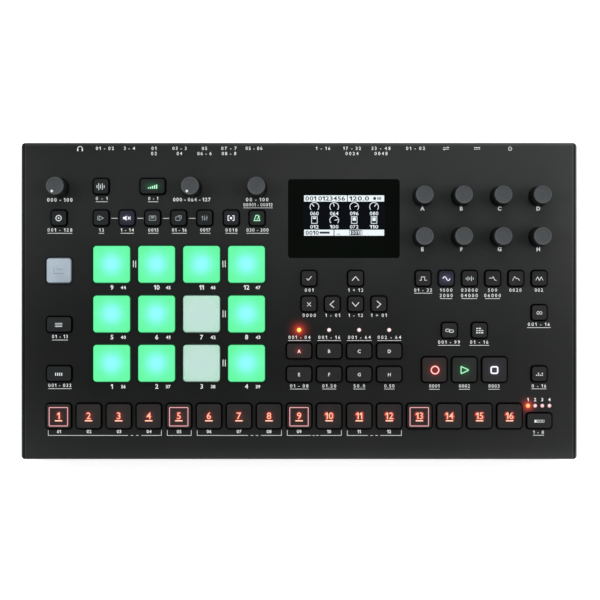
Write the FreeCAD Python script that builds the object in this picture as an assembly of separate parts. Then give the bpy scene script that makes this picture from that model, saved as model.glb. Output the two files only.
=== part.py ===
import FreeCAD, Part
import os
import math
from FreeCAD import Vector, Placement, Rotation

os.makedirs("parts", exist_ok=True)

# ------------------------------------------------------------------
# Tabletop drum machine: a wedge-shaped sheet-steel case with a sloping
# panel of velocity pads, keys, rotary knobs, a display window and a row
# of sockets on the rear wall.
# Frame: millimetres, +X to the player's right, +Y to the rear, +Z up.
# Origin: on the table, under the middle of the bounding box.
# ------------------------------------------------------------------

# driving dimensions, mm -------------------------------------------
CASE_W = 385.0            # width over the side walls
CASE_HALF_D = 109.05      # half the horizontal depth of the case
TILT = 6.0                # slope of the panel, degrees
PANEL_Y = -1.5            # panel centre, the case stands 3 mm off the rear nuts
PANEL_Z = 56.3            # height of the panel centre
FOOT_H = 4.0              # rubber feet under the tray
SHEET = 1.2               # steel sheet
BEND_R = 2.5              # outer bend and corner radius
LIP_H = 7.0               # rear lip of the top case

KEY_L = 17.0              # large square key
KEY_W_H = 10.4            # height of the wide key, its width is KEY_L
KEY_S = 10.4              # small square key
HOLE_L = 18.2
HOLE_W_H = 11.5
HOLE_S = 11.5
FLANGE_RIM = 0.8          # how far a key's flange reaches under the panel
KEY_R = 2.0               # corner radius of a key
KEY_EDGE = 0.65           # rounded top edge of a key
KEY_UP = 1.9              # key top above the panel
FLANGE_TOP = -1.4
FLANGE_BOT = -2.4
STEM_BOT = -5.9
SWITCH_TOP = -7.0
KEY_TRAVEL = 1.0

PAD = 25.4
PAD_HOLE = 26.8
PAD_UP = 2.0
PAD_R = 2.2

BOARD_TOP = -9.0
BOARD_BOT = -10.6

KNOB_H = 17.0
KNOB_R_BASE = 7.0
KNOB_R_TOP = 6.15
KNOB_GAP = 0.6
SHAFT_R = 3.0
BUSH_R = 3.5
BUSH_HOLE = 3.6

WINDOW_W = 77.1
WINDOW_H = 54.4
LED_R = 1.6

JACK_BORE_R = 3.25
JACK_BUSH_R = 4.5
JACK_Z_LOW = 24.0
JACK_Z_HIGH = 45.0
DIN_BORE_R = 6.75
DC_BORE_R = 2.8

# panel grid: one grid unit is 0.692 mm, counted from the left and the
# rear, with the panel's middle at (299.1, 300.7)
GRID = 0.692
GX = 299.1
GY = 300.7


def uv(gx, gy):
    return ((gx - GX) * GRID, (GY - gy) * GRID)


PANEL = Placement(Vector(0, PANEL_Y, PANEL_Z), Rotation(Vector(1, 0, 0), TILT))


def on_panel(shape):
    out = shape.copy()
    out.transformShape(PANEL.toMatrix())
    return out


def rrect(cu, cv, w, h, r, z0, z1):
    """Rounded rectangular prism between z0 and z1."""
    a, b = w / 2.0, h / 2.0
    k = r * math.sqrt(0.5)
    p = []
    def P(x, y):
        return Vector(cu + x, cv + y, z0)
    p.append(Part.LineSegment(P(-a + r, -b), P(a - r, -b)).toShape())
    p.append(Part.Arc(P(a - r, -b), P(a - r + k, -b + r - k), P(a, -b + r)).toShape())
    p.append(Part.LineSegment(P(a, -b + r), P(a, b - r)).toShape())
    p.append(Part.Arc(P(a, b - r), P(a - r + k, b - r + k), P(a - r, b)).toShape())
    p.append(Part.LineSegment(P(a - r, b), P(-a + r, b)).toShape())
    p.append(Part.Arc(P(-a + r, b), P(-a + r - k, b - r + k), P(-a, b - r)).toShape())
    p.append(Part.LineSegment(P(-a, b - r), P(-a, -b + r)).toShape())
    p.append(Part.Arc(P(-a, -b + r), P(-a + r - k, -b + r - k), P(-a + r, -b)).toShape())
    face = Part.Face(Part.Wire(p))
    return face.extrude(Vector(0, 0, z1 - z0))


def box(cx, cy, w, h, z0, z1):
    return Part.makeBox(w, h, z1 - z0, Vector(cx - w / 2.0, cy - h / 2.0, z0))


def cyl(cx, cy, r, z0, z1):
    return Part.makeCylinder(r, z1 - z0, Vector(cx, cy, z0))


def cyl_y(cx, cz, r, y0, y1):
    return Part.makeCylinder(r, y1 - y0, Vector(cx, y0, cz), Vector(0, 1, 0))


def fillet_at_z(shape, z, r, tol=1e-4):
    edges = [e for e in shape.Edges
             if all(abs(v.Point.z - z) < tol for v in e.Vertexes)]
    return shape.makeFillet(r, edges)


def revolve(points):
    """Solid of revolution about Z from a closed (r, z) outline."""
    pts = [Vector(r, 0, z) for r, z in points]
    pts.append(pts[0])
    return Part.Face(Part.makePolygon(pts)).revolve(Vector(0, 0, 0), Vector(0, 0, 1), 360)


def save(name, solids):
    if not isinstance(solids, (list, tuple)):
        solids = [solids]
    flat = []
    for s in solids:
        flat.extend(s.Solids)
    for s in flat:
        if not s.isValid():
            print("not valid:", name)
    shape = flat[0] if len(flat) == 1 else Part.makeCompound(flat)
    shape.exportStep("parts/%s.step" % name)
    bb = shape.BoundBox
    print("%-18s %3d solids  x %.2f %.2f  y %.2f %.2f  z %.2f %.2f  %.1f cm3" % (
        name, len(flat), bb.XMin, bb.XMax, bb.YMin, bb.YMax, bb.ZMin, bb.ZMax,
        shape.Volume / 1000.0))


# ------------------------------------------------------------------
# places of everything on the panel, in grid units
# ------------------------------------------------------------------
trig_keys = [(59.1 + 30.0 * i, 415.9) for i in range(16)]
transport_keys = {"record_key": (434.1, 369.5), "play_key": (464.1, 369.5),
                  "stop_key": (494.1, 369.5)}
function_key = (59.35, 270.6)
pads = [(x, y) for y in (363.2, 314.0, 264.4) for x in (112.0, 156.85, 201.7, 246.6)]

# small keys and wide keys, each (x, y, kind)
mode_keys = ([(101.4, 186.5, "S"), (152.9, 186.5, "W")]
             + [(x, 218.1, "S") for x in (59.4, 101.4, 127.3, 152.9, 178.9, 204.9, 231.4, 257.1)]
             + [(59.5, 324.4, "W"), (59.5, 373.5, "W")])
navigation_keys = [(308.95, 278.4, "S"), (308.95, 304.0, "S"), (355.5, 278.4, "S"),
                   (332.2, 304.0, "S"), (355.5, 304.0, "S"), (378.75, 304.0, "S")]
bank_keys = ([(299.1 + 30.0 * j, 350.8, "W") for j in range(4)]
             + [(299.1 + 30.0 * j, 374.1, "W") for j in range(4)])
page_keys = ([(422.9 + 23.18 * j, 278.4, "S") for j in range(6)]
             + [(538.8, 312.6, "S"), (449.1, 330.3, "S"), (479.1, 330.3, "S"),
                (538.8, 373.8, "S"), (538.8, 420.6, "W")])

knobs = {
    "knob_main_volume": (59.6, 188.0),
    "knob_performance": (192.0, 188.0),
    "knob_track_level": (257.1, 188.0),
}
for i, letter in enumerate("abcdefgh"):
    knobs["knob_" + letter] = ((422.3, 460.9, 499.5, 538.1)[i % 4], (196.6, 237.3)[i // 4])

leds = ([(299.1 + 30.0 * j, 330.0) for j in range(4)]
        + [(527.9 + 7.13 * k, 405.7) for k in range(4)])
window_at = (343.85, 218.6)
pillars = [(34, 160), (34, 300), (34, 440), (565, 160), (565, 300), (565, 440),
           (277, 300), (280, 160), (430, 160), (280, 445), (430, 445)]

SIZE = {"L": (KEY_L, KEY_L, HOLE_L, HOLE_L),
        "W": (KEY_L, KEY_W_H, HOLE_L, HOLE_W_H),
        "S": (KEY_S, KEY_S, HOLE_S, HOLE_S)}

# ------------------------------------------------------------------
# top case: folded steel, panel, front wall, side walls and a rear lip
# ------------------------------------------------------------------
half_w = CASE_W / 2.0
y_front = PANEL_Y - CASE_HALF_D
y_rear = PANEL_Y + CASE_HALF_D
rise = CASE_HALF_D * math.tan(math.radians(TILT))
z_front = PANEL_Z - rise
z_rear = PANEL_Z + rise


def wedge(inset, z_low, r_vert, r_top):
    """Case outline, drawn in by inset on the top, the front, the rear and both sides."""
    drop = inset / math.cos(math.radians(TILT))
    yf, yr = y_front + inset, y_rear - inset
    slope = math.tan(math.radians(TILT))
    zf = PANEL_Z + slope * (yf - PANEL_Y) - drop
    zr = PANEL_Z + slope * (yr - PANEL_Y) - drop
    x = half_w - inset
    poly = Part.makePolygon([Vector(-x, yf, z_low), Vector(-x, yr, z_low),
                             Vector(-x, yr, zr), Vector(-x, yf, zf),
                             Vector(-x, yf, z_low)])
    solid = Part.Face(poly).extrude(Vector(2 * x, 0, 0))
    upright = [e for e in solid.Edges
               if abs(e.Vertexes[0].X - e.Vertexes[1].X) < 1e-6
               and abs(e.Vertexes[0].Y - e.Vertexes[1].Y) < 1e-6]
    solid = solid.makeFillet(r_vert, upright)
    # the closed loop of edges round the panel
    top = []
    for e in solid.Edges:
        mids = [v.Point for v in e.Vertexes] + [e.valueAt((e.FirstParameter + e.LastParameter) / 2.0)]
        if all(abs(p.z - (PANEL_Z + slope * (p.y - PANEL_Y) - drop)) < 1e-3 for p in mids):
            top.append(e)
    return solid.makeFillet(r_top, top)


outer = wedge(0.0, FOOT_H, BEND_R, BEND_R)
inner = wedge(SHEET, FOOT_H - 5.0, BEND_R - SHEET, BEND_R - SHEET)
top_case = outer.cut(inner)

holes = []
for gx, gy in trig_keys + list(transport_keys.values()) + [function_key]:
    u, v = uv(gx, gy)
    holes.append(rrect(u, v, HOLE_L, HOLE_L, 2.8, -4, 4))
for gx, gy, kind in mode_keys + navigation_keys + bank_keys + page_keys:
    u, v = uv(gx, gy)
    w, h, hw, hh = SIZE[kind]
    holes.append(rrect(u, v, hw, hh, 2.4, -4, 4))
for gx, gy in pads:
    u, v = uv(gx, gy)
    holes.append(rrect(u, v, PAD_HOLE, PAD_HOLE, 2.9, -4, 4))
for gx, gy in knobs.values():
    u, v = uv(gx, gy)
    holes.append(cyl(u, v, BUSH_HOLE, -4, 4))
for gx, gy in leds:
    u, v = uv(gx, gy)
    holes.append(cyl(u, v, LED_R + 0.05, -4, 4))
wu, wv = uv(*window_at)
holes.append(rrect(wu, wv, WINDOW_W + 0.2, WINDOW_H + 0.2, 2.1, -4, 4))
holes = [on_panel(h) for h in holes]

# the rear opening that the tray's upright wall closes
WALL_X = 186.0
holes.append(Part.makeBox(2 * WALL_X, 8.0, z_rear - LIP_H - 2.0,
                          Vector(-WALL_X, y_rear - 3.0, 2.0)))

# countersunk screws along both sides
SCREW_Z = 11.0
screw_ys = (-86.0, -1.5, 83.0)


def side_screw(x_side, y, z, grow=0.0):
    """Countersunk screw, flush with the side wall, pointing inwards."""
    s = 1.0 if x_side > 0 else -1.0
    head = Part.makeCone(2.75 + grow, 1.5 + grow, 1.25, Vector(s * half_w, y, z), Vector(-s, 0, 0))
    shank = Part.makeCylinder(1.5 + grow, 6.0, Vector(s * half_w, y, z), Vector(-s, 0, 0))
    return head.fuse(shank)


for y in screw_ys:
    for s in (-1, 1):
        holes.append(side_screw(s, y, SCREW_Z, 0.05))
top_case = top_case.cut(Part.makeCompound(holes))
save("top_case", top_case)

# ------------------------------------------------------------------
# base tray: floor, side flanges and the upright rear wall with sockets
# ------------------------------------------------------------------
GAP = 0.15
floor_x = half_w - SHEET - GAP
floor_yf = y_front + SHEET + GAP
floor = Part.makeBox(2 * floor_x, (y_rear - SHEET - GAP) - floor_yf, SHEET,
                     Vector(-floor_x, floor_yf, FOOT_H))
# corners follow the case's inner radius
floor = floor.makeFillet(1.4, [e for e in floor.Edges
                               if abs(e.Vertexes[0].X - e.Vertexes[1].X) < 1e-6
                               and abs(e.Vertexes[0].Y - e.Vertexes[1].Y) < 1e-6])
wall_top = z_rear - LIP_H - 0.25
WX = WALL_X - 0.25
# a strip of floor that carries the wall
strip = Part.makeBox(2 * WX, 3.0, SHEET, Vector(-WX, y_rear - 3.0, FOOT_H))
# an inner tongue behind the rear lip of the top case
tongue = Part.makeBox(2 * (WX - 6), SHEET, 7.0, Vector(-(WX - 6), y_rear - 2 * SHEET - 0.1, wall_top - 4.0))
bridge = Part.makeBox(2 * (WX - 6), 0.15, 3.0, Vector(-(WX - 6), y_rear - SHEET - 0.15, wall_top - 4.0))
flange_h = 12.0
flanges = [Part.makeBox(SHEET, 200.0, flange_h, Vector(s * floor_x - (SHEET if s > 0 else 0), -101.5, FOOT_H))
           for s in (-1, 1)]
front_flange = Part.makeBox(360.0, SHEET, flange_h, Vector(-180.0, floor_yf, FOOT_H))
# clinch nuts for the screws of a stand, on a 100 mm square
stand_nuts = [cyl(sx * 50.0, PANEL_Y + sy * 50.0, 4.5, FOOT_H + SHEET - 0.01, FOOT_H + SHEET + 5.0)
              for sx in (-1, 1) for sy in (-1, 1)]
tray = floor.multiFuse([strip, front_flange] + flanges + stand_nuts)

jack_xs = [(80.0, ("high",)), (105.0, ("low", "high")), (129.5, ("low", "high")),
           (154.0, ("low", "high")), (179.5, ("low", "high")), (204.5, ("low", "high")),
           (229.0, ("low", "high")), (254.0, ("low", "high")), (415.5, ("low", "high"))]
jack_places = []
for gx, rows in jack_xs:
    for row in rows:
        jack_places.append(((gx - GX) * GRID, JACK_Z_LOW if row == "low" else JACK_Z_HIGH))
din_places = [((gx - GX) * GRID, 31.0) for gx in (323.0, 352.0, 381.0)]
usb_place = ((446.0 - GX) * GRID, 27.0)
dc_place = ((477.0 - GX) * GRID, 27.0)
power_place = ((510.0 - GX) * GRID, 31.0)

y_in = y_rear - SHEET            # inner face of the rear wall
ya, yb = y_in - 2.0, y_rear + 2.0
cuts = [cyl_y(x, z, JACK_BUSH_R + 0.2, ya, yb) for x, z in jack_places]
cuts += [cyl_y(x, z, 7.6, ya, yb) for x, z in din_places]
cuts.append(Part.makeBox(12.4, yb - ya, 11.4, Vector(usb_place[0] - 6.2, ya, usb_place[1] - 5.7)))
cuts.append(cyl_y(dc_place[0], dc_place[1], 5.7, ya, yb))
cuts.append(cyl_y(power_place[0], power_place[1], 4.0, ya, yb))
cuts += [cyl(sx * 50.0, PANEL_Y + sy * 50.0, 2.0, 0.0, 20.0) for sx in (-1, 1) for sy in (-1, 1)]
for y in screw_ys:
    for s in (-1, 1):
        cuts.append(Part.makeCylinder(1.5, 12.0, Vector(s * (half_w + 1), y, SCREW_Z), Vector(-s, 0, 0)))
cuts = Part.makeCompound(cuts)
tray = tray.cut(cuts).removeSplitter()

# the upright wall stands on the strip. It is laid out in plates that meet
# on the sockets' centre lines, so that every hole lies between its plates
lines = [(x, (JACK_Z_LOW, JACK_Z_HIGH) if len(rows) == 2 else (JACK_Z_HIGH,))
         for x, rows in (((gx - GX) * GRID, rows) for gx, rows in jack_xs)]
lines += [(x, (z,)) for x, z in din_places + [dc_place, power_place]]
lines += [(usb_place[0] + s * 6.2, (usb_place[1] - 5.7, usb_place[1] + 5.7)) for s in (-1, 1)]
lines = [(-WX, ())] + sorted(lines) + [(WX, ())]
z_foot = FOOT_H + SHEET
plates = []
for (x0, left), (x1, right) in zip(lines, lines[1:]):
    rows = [z_foot] + sorted(set(left) | set(right)) + [wall_top]
    for z0, z1 in zip(rows, rows[1:]):
        plate = Part.makeBox(x1 - x0, SHEET, z1 - z0, Vector(x0, y_rear - SHEET, z0)).cut(cuts)
        plates += [p for p in plate.Solids if p.Volume > 1.0]
rail = tongue.fuse(bridge).removeSplitter()
save("base_tray", [tray] + plates + [rail])

# ------------------------------------------------------------------
# rubber feet
# ------------------------------------------------------------------
feet = []
for sx in (-1, 1):
    for y in (-88.0, 85.0):
        foot = revolve([(0, 0.6), (4.0, 0.6), (4.6, 0.0), (8.3, 0.0), (9.0, 0.7), (9.6, FOOT_H), (0, FOOT_H)])
        foot.translate(Vector(sx * 168.0, y, 0))
        feet.append(foot)
save("rubber_feet", feet)

# ------------------------------------------------------------------
# fasteners: case screws, board pillars, knob nuts and jack nuts
# ------------------------------------------------------------------
fasteners = []
for y in screw_ys:
    for s in (-1, 1):
        screw = side_screw(s, y, SCREW_Z)
        hexs = Part.makePolygon([Vector(0, 0.95 * math.cos(math.radians(60 * k)),
                                        0.95 * math.sin(math.radians(60 * k))) for k in range(7)])
        sock = Part.Face(hexs).extrude(Vector(1.0, 0, 0))
        sock.translate(Vector(s * half_w - (1.0 if s > 0 else 0.0), y, SCREW_Z))
        fasteners.append(screw.cut(sock))
for gx, gy in pillars:
    u, v = uv(gx, gy)
    fasteners.append(on_panel(cyl(u, v, 2.5, BOARD_TOP, -SHEET)))
    fasteners.append(on_panel(cyl(u, v, 2.6, BOARD_BOT - 1.6, BOARD_BOT)))


def hex_prism(cu, cv, r, z0, z1):
    pts = [Vector(cu + r * math.cos(math.radians(60 * k)), cv + r * math.sin(math.radians(60 * k)), z0)
           for k in range(7)]
    return Part.Face(Part.makePolygon(pts)).extrude(Vector(0, 0, z1 - z0))


for gx, gy in knobs.values():
    u, v = uv(gx, gy)
    fasteners.append(on_panel(hex_prism(u, v, 5.0, 0.0, 1.6).cut(cyl(u, v, BUSH_R, -1, 3))))
NUT_R = 6.4
for x, z in jack_places:
    nut = cyl_y(x, z, NUT_R, y_rear, y_rear + 2.4)
    nut = nut.makeChamfer(0.4, [e for e in nut.Edges if len(e.Vertexes) == 1 and e.BoundBox.YMin > y_rear + 2.3])
    fasteners.append(nut.cut(cyl_y(x, z, JACK_BUSH_R, y_rear - 1, y_rear + 4)))
save("fasteners", fasteners)

# ------------------------------------------------------------------
# display window and the module behind it
# ------------------------------------------------------------------
window = rrect(wu, wv, WINDOW_W, WINDOW_H, 2.0, -SHEET, 0.0)
save("display_window", on_panel(window))
module = rrect(wu, wv, WINDOW_W + 5.0, WINDOW_H + 4.6, 1.5, -3.2, -SHEET)
au, av = uv(344.1, 215.5)
module = module.fuse(rrect(au, av, 60.5, 37.0, 0.5, -5.4, -3.2))
module = module.fuse(box(au, av - 17.5, 30.0, 2.0, BOARD_TOP, -5.4))
save("display_module", on_panel(module.removeSplitter()))

# ------------------------------------------------------------------
# circuit boards: main board under the panel, socket board at the rear
# ------------------------------------------------------------------
main_board = rrect(0, -7.5, 372.0, 191.0, 3.0, BOARD_BOT, BOARD_TOP)
boards = [on_panel(main_board)]
boards.append(Part.makeBox(336.0, 1.6, 38.0, Vector(-168.0, 73.6, 13.5)))
chips = [(-120, 20, 14, 14), (-60, 30, 20, 20), (6, -10, 28, 28), (60, 30, 14, 14),
         (120, -20, 20, 14), (-100, -60, 14, 20), (50, -70, 20, 20), (140, 40, 10, 10)]
boards += [on_panel(box(cu, cv, w, h, BOARD_BOT - 1.8, BOARD_BOT)) for cu, cv, w, h in chips]
save("circuit_boards", boards)

# ------------------------------------------------------------------
# switches under the keys, pressure sensors under the pads, power switch
# ------------------------------------------------------------------
switches = []
all_keys = ([(gx, gy) for gx, gy in trig_keys + list(transport_keys.values()) + [function_key]]
            + [(gx, gy) for gx, gy, _ in mode_keys + navigation_keys + bank_keys + page_keys])
for gx, gy in all_keys:
    u, v = uv(gx, gy)
    switches.append(on_panel(box(u, v, 6.2, 6.2, BOARD_TOP, SWITCH_TOP - 0.7)
                             .fuse(cyl(u, v, 1.7, SWITCH_TOP - 0.8, SWITCH_TOP))))
for gx, gy in pads:
    u, v = uv(gx, gy)
    switches.append(on_panel(cyl(u, v, 9.0, BOARD_TOP, -7.3)))
switches.append(Part.makeBox(12.0, 9.0, 12.0, Vector(power_place[0] - 6.0, y_in - 19.0, power_place[1] - 6.0)))
save("key_switches", switches)

# ------------------------------------------------------------------
# rotary encoders and potentiometers under the knobs
# ------------------------------------------------------------------
encoders = []
for gx, gy in knobs.values():
    u, v = uv(gx, gy)
    e = box(u, v, 12.0, 12.0, BOARD_TOP, -2.4).fuse(cyl(u, v, BUSH_R, -2.5, 3.2))
    e = e.cut(cyl(u, v, SHAFT_R + 0.05, -5.2, 4.0))
    encoders.append(on_panel(e))
save("encoder_bodies", encoders)

# ------------------------------------------------------------------
# 6.35 mm jack sockets
# ------------------------------------------------------------------
jacks = []
SEAT = y_in - 0.15               # front of a socket's housing
for x, z in jack_places:
    body = Part.makeBox(15.0, 30.0, 15.0, Vector(x - 7.5, SEAT - 30.0, z - 7.5))
    body = body.fuse(cyl_y(x, z, JACK_BUSH_R, SEAT - 0.1, y_rear + 3.0))
    body = body.cut(cyl_y(x, z, JACK_BORE_R, SEAT - 28.9, SEAT))
    body = body.cut(cyl_y(x, z, JACK_BORE_R + 0.35, SEAT, y_rear + 5.0))
    jacks.append(body)
save("audio_jacks", jacks)

# ------------------------------------------------------------------
# round five-pin sockets, the square data socket and the power inlet
# ------------------------------------------------------------------
sockets = []
for x, z in din_places:
    body = Part.makeBox(18.0, 16.0, 18.0, Vector(x - 9.0, SEAT - 16.0, z - 9.0))
    body = body.fuse(cyl_y(x, z, 7.5, SEAT - 0.1, y_rear + 0.6))
    body = body.cut(cyl_y(x, z, DIN_BORE_R, SEAT - 8.9, SEAT))
    body = body.cut(cyl_y(x, z, DIN_BORE_R + 0.25, SEAT, y_rear + 3.0))
    sockets.append(body)
x, z = usb_place
body = Part.makeBox(12.0, 16.0, 11.0, Vector(x - 6.0, y_rear + 0.6 - 16.0, z - 5.5))
body = body.cut(Part.makeBox(8.6, 11.0, 7.9, Vector(x - 4.3, y_rear + 0.6 - 10.0, z - 3.95)))
sockets.append(body)
x, z = dc_place
body = Part.makeBox(12.0, 14.0, 12.0, Vector(x - 6.0, SEAT - 14.0, z - 6.0))
body = body.fuse(cyl_y(x, z, 5.5, SEAT - 0.1, y_rear + 1.0))
body = body.cut(cyl_y(x, z, DC_BORE_R, SEAT - 9.5, SEAT))
body = body.cut(cyl_y(x, z, DC_BORE_R + 0.5, SEAT, y_rear + 3.0))
sockets.append(body)
save("digital_sockets", sockets)

# ------------------------------------------------------------------
# indicator lenses
# ------------------------------------------------------------------
lenses = []
for gx, gy in leds:
    u, v = uv(gx, gy)
    lens = revolve([(0, -SHEET), (LED_R, -SHEET), (LED_R, 0.0), (1.35, 0.22), (0.8, 0.38), (0, 0.42)])
    lens.translate(Vector(u, v, 0))
    lenses.append(on_panel(lens))
save("led_lenses", lenses)

# ------------------------------------------------------------------
# keys: cap, flange under the panel and stem
# ------------------------------------------------------------------


def key(gx, gy, kind):
    u, v = uv(gx, gy)
    w, h, hw, hh = SIZE[kind]
    cap = rrect(u, v, w, h, KEY_R, FLANGE_BOT, KEY_UP)
    cap = fillet_at_z(cap, KEY_UP, KEY_EDGE)
    flange = rrect(u, v, hw + 2 * FLANGE_RIM, hh + 2 * FLANGE_RIM, 3.0, FLANGE_BOT, FLANGE_TOP)
    stem = cyl(u, v, 2.2, STEM_BOT, FLANGE_BOT + 0.1)
    return on_panel(cap.multiFuse([flange, stem]).removeSplitter())


for i, (gx, gy) in enumerate(trig_keys):
    save("trig_key_%d" % (i + 1), key(gx, gy, "L"))
for name, (gx, gy) in transport_keys.items():
    save(name, key(gx, gy, "L"))
save("function_key", key(function_key[0], function_key[1], "L"))
save("mode_keys", [key(*k) for k in mode_keys])
save("navigation_keys", [key(*k) for k in navigation_keys])
save("bank_keys", [key(*k) for k in bank_keys])
save("page_keys", [key(*k) for k in page_keys])

# ------------------------------------------------------------------
# velocity pads
# ------------------------------------------------------------------
for i, (gx, gy) in enumerate(pads):
    u, v = uv(gx, gy)
    cap = rrect(u, v, PAD, PAD, PAD_R, FLANGE_BOT, PAD_UP)
    cap = fillet_at_z(cap, PAD_UP, 0.9)
    flange = rrect(u, v, PAD_HOLE + 2 * 0.9, PAD_HOLE + 2 * 0.9, 3.5, FLANGE_BOT, FLANGE_TOP)
    stem = rrect(u, v, 17.0, 17.0, 2.0, -6.2, FLANGE_BOT + 0.1)
    save("pad_%d" % (i + 1), on_panel(cap.multiFuse([flange, stem]).removeSplitter()))

# ------------------------------------------------------------------
# knobs: each a cap pressed on its own shaft
# ------------------------------------------------------------------
for name, (gx, gy) in knobs.items():
    u, v = uv(gx, gy)
    g = KNOB_GAP
    cap = revolve([(0, KNOB_H - 0.62), (3.0, KNOB_H - 0.58), (4.7, KNOB_H - 0.42), (5.25, KNOB_H - 0.08),
                   (5.45, KNOB_H), (5.7, KNOB_H), (5.98, KNOB_H - 0.1), (KNOB_R_TOP, KNOB_H - 0.4),
                   (KNOB_R_BASE - 0.12, 2.2), (KNOB_R_BASE, 1.6), (KNOB_R_BASE, g + 0.25), (KNOB_R_BASE - 0.25, g),
                   (5.7, g), (5.7, 4.6), (SHAFT_R, 4.6), (SHAFT_R, 13.0), (0, 13.0)])
    shaft = cyl(0, 0, SHAFT_R, -4.6, 13.0)
    for s in (cap, shaft):
        s.translate(Vector(u, v, 0))
    save(name, [on_panel(cap), on_panel(shaft)])

# ------------------------------------------------------------------
# power button in the rear wall
# ------------------------------------------------------------------
x, z = power_place
button = cyl_y(x, z, 3.75, y_in - 1.6, y_rear + 3.0)
button = button.makeFillet(0.6, [e for e in button.Edges if len(e.Vertexes) == 1 and e.BoundBox.YMin > y_rear + 2.9])
button = button.fuse(cyl_y(x, z, 5.0, y_in - 1.6, y_in - 0.4))
button = button.fuse(Part.makeBox(4.0, 6.0, 4.0, Vector(x - 2.0, y_in - 7.5, z - 2.0)))
save("power_button", button)
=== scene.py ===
import math

import bpy
from mathutils import Matrix, Vector


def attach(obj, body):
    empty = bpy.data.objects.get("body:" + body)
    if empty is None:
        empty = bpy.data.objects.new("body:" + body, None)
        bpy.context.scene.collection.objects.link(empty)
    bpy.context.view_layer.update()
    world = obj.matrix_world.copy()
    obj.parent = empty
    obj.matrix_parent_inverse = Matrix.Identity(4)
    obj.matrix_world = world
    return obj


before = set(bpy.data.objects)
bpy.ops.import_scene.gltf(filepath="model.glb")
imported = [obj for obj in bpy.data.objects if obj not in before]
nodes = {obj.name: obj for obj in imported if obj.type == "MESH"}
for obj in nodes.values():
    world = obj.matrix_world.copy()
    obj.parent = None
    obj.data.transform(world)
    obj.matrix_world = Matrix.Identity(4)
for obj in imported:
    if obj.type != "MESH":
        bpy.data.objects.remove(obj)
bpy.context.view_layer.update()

# ------------------------------------------------------------------
# panel grid, as in the construction: grid units of 0.692 mm from the
# left and the rear, on a panel that slopes by 6 degrees
# ------------------------------------------------------------------
TILT = math.radians(6.0)
GRID = 0.692
GX, GY = 299.1, 300.7
ORIGIN = Vector((0.0, -1.5, 56.3))
U = Vector((1.0, 0.0, 0.0))
V = Vector((0.0, math.cos(TILT), math.sin(TILT)))
W = Vector((0.0, -math.sin(TILT), math.cos(TILT)))
KEY_TOP = 1.9
PAD_TOP = 2.0


def mm(u, v, w):
    """A point on the panel, u, v and w in mm, as metres in the frame."""
    return (ORIGIN + U * u + V * v + W * w) * 0.001


def at(gx, gy):
    return (gx - GX) * GRID, (GY - gy) * GRID


# ------------------------------------------------------------------
# material helpers
# ------------------------------------------------------------------
def lin(r, g, b):
    def f(c):
        c = c / 255.0
        return c / 12.92 if c <= 0.04045 else ((c + 0.055) / 1.055) ** 2.4
    return (f(r), f(g), f(b), 1.0)


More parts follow.
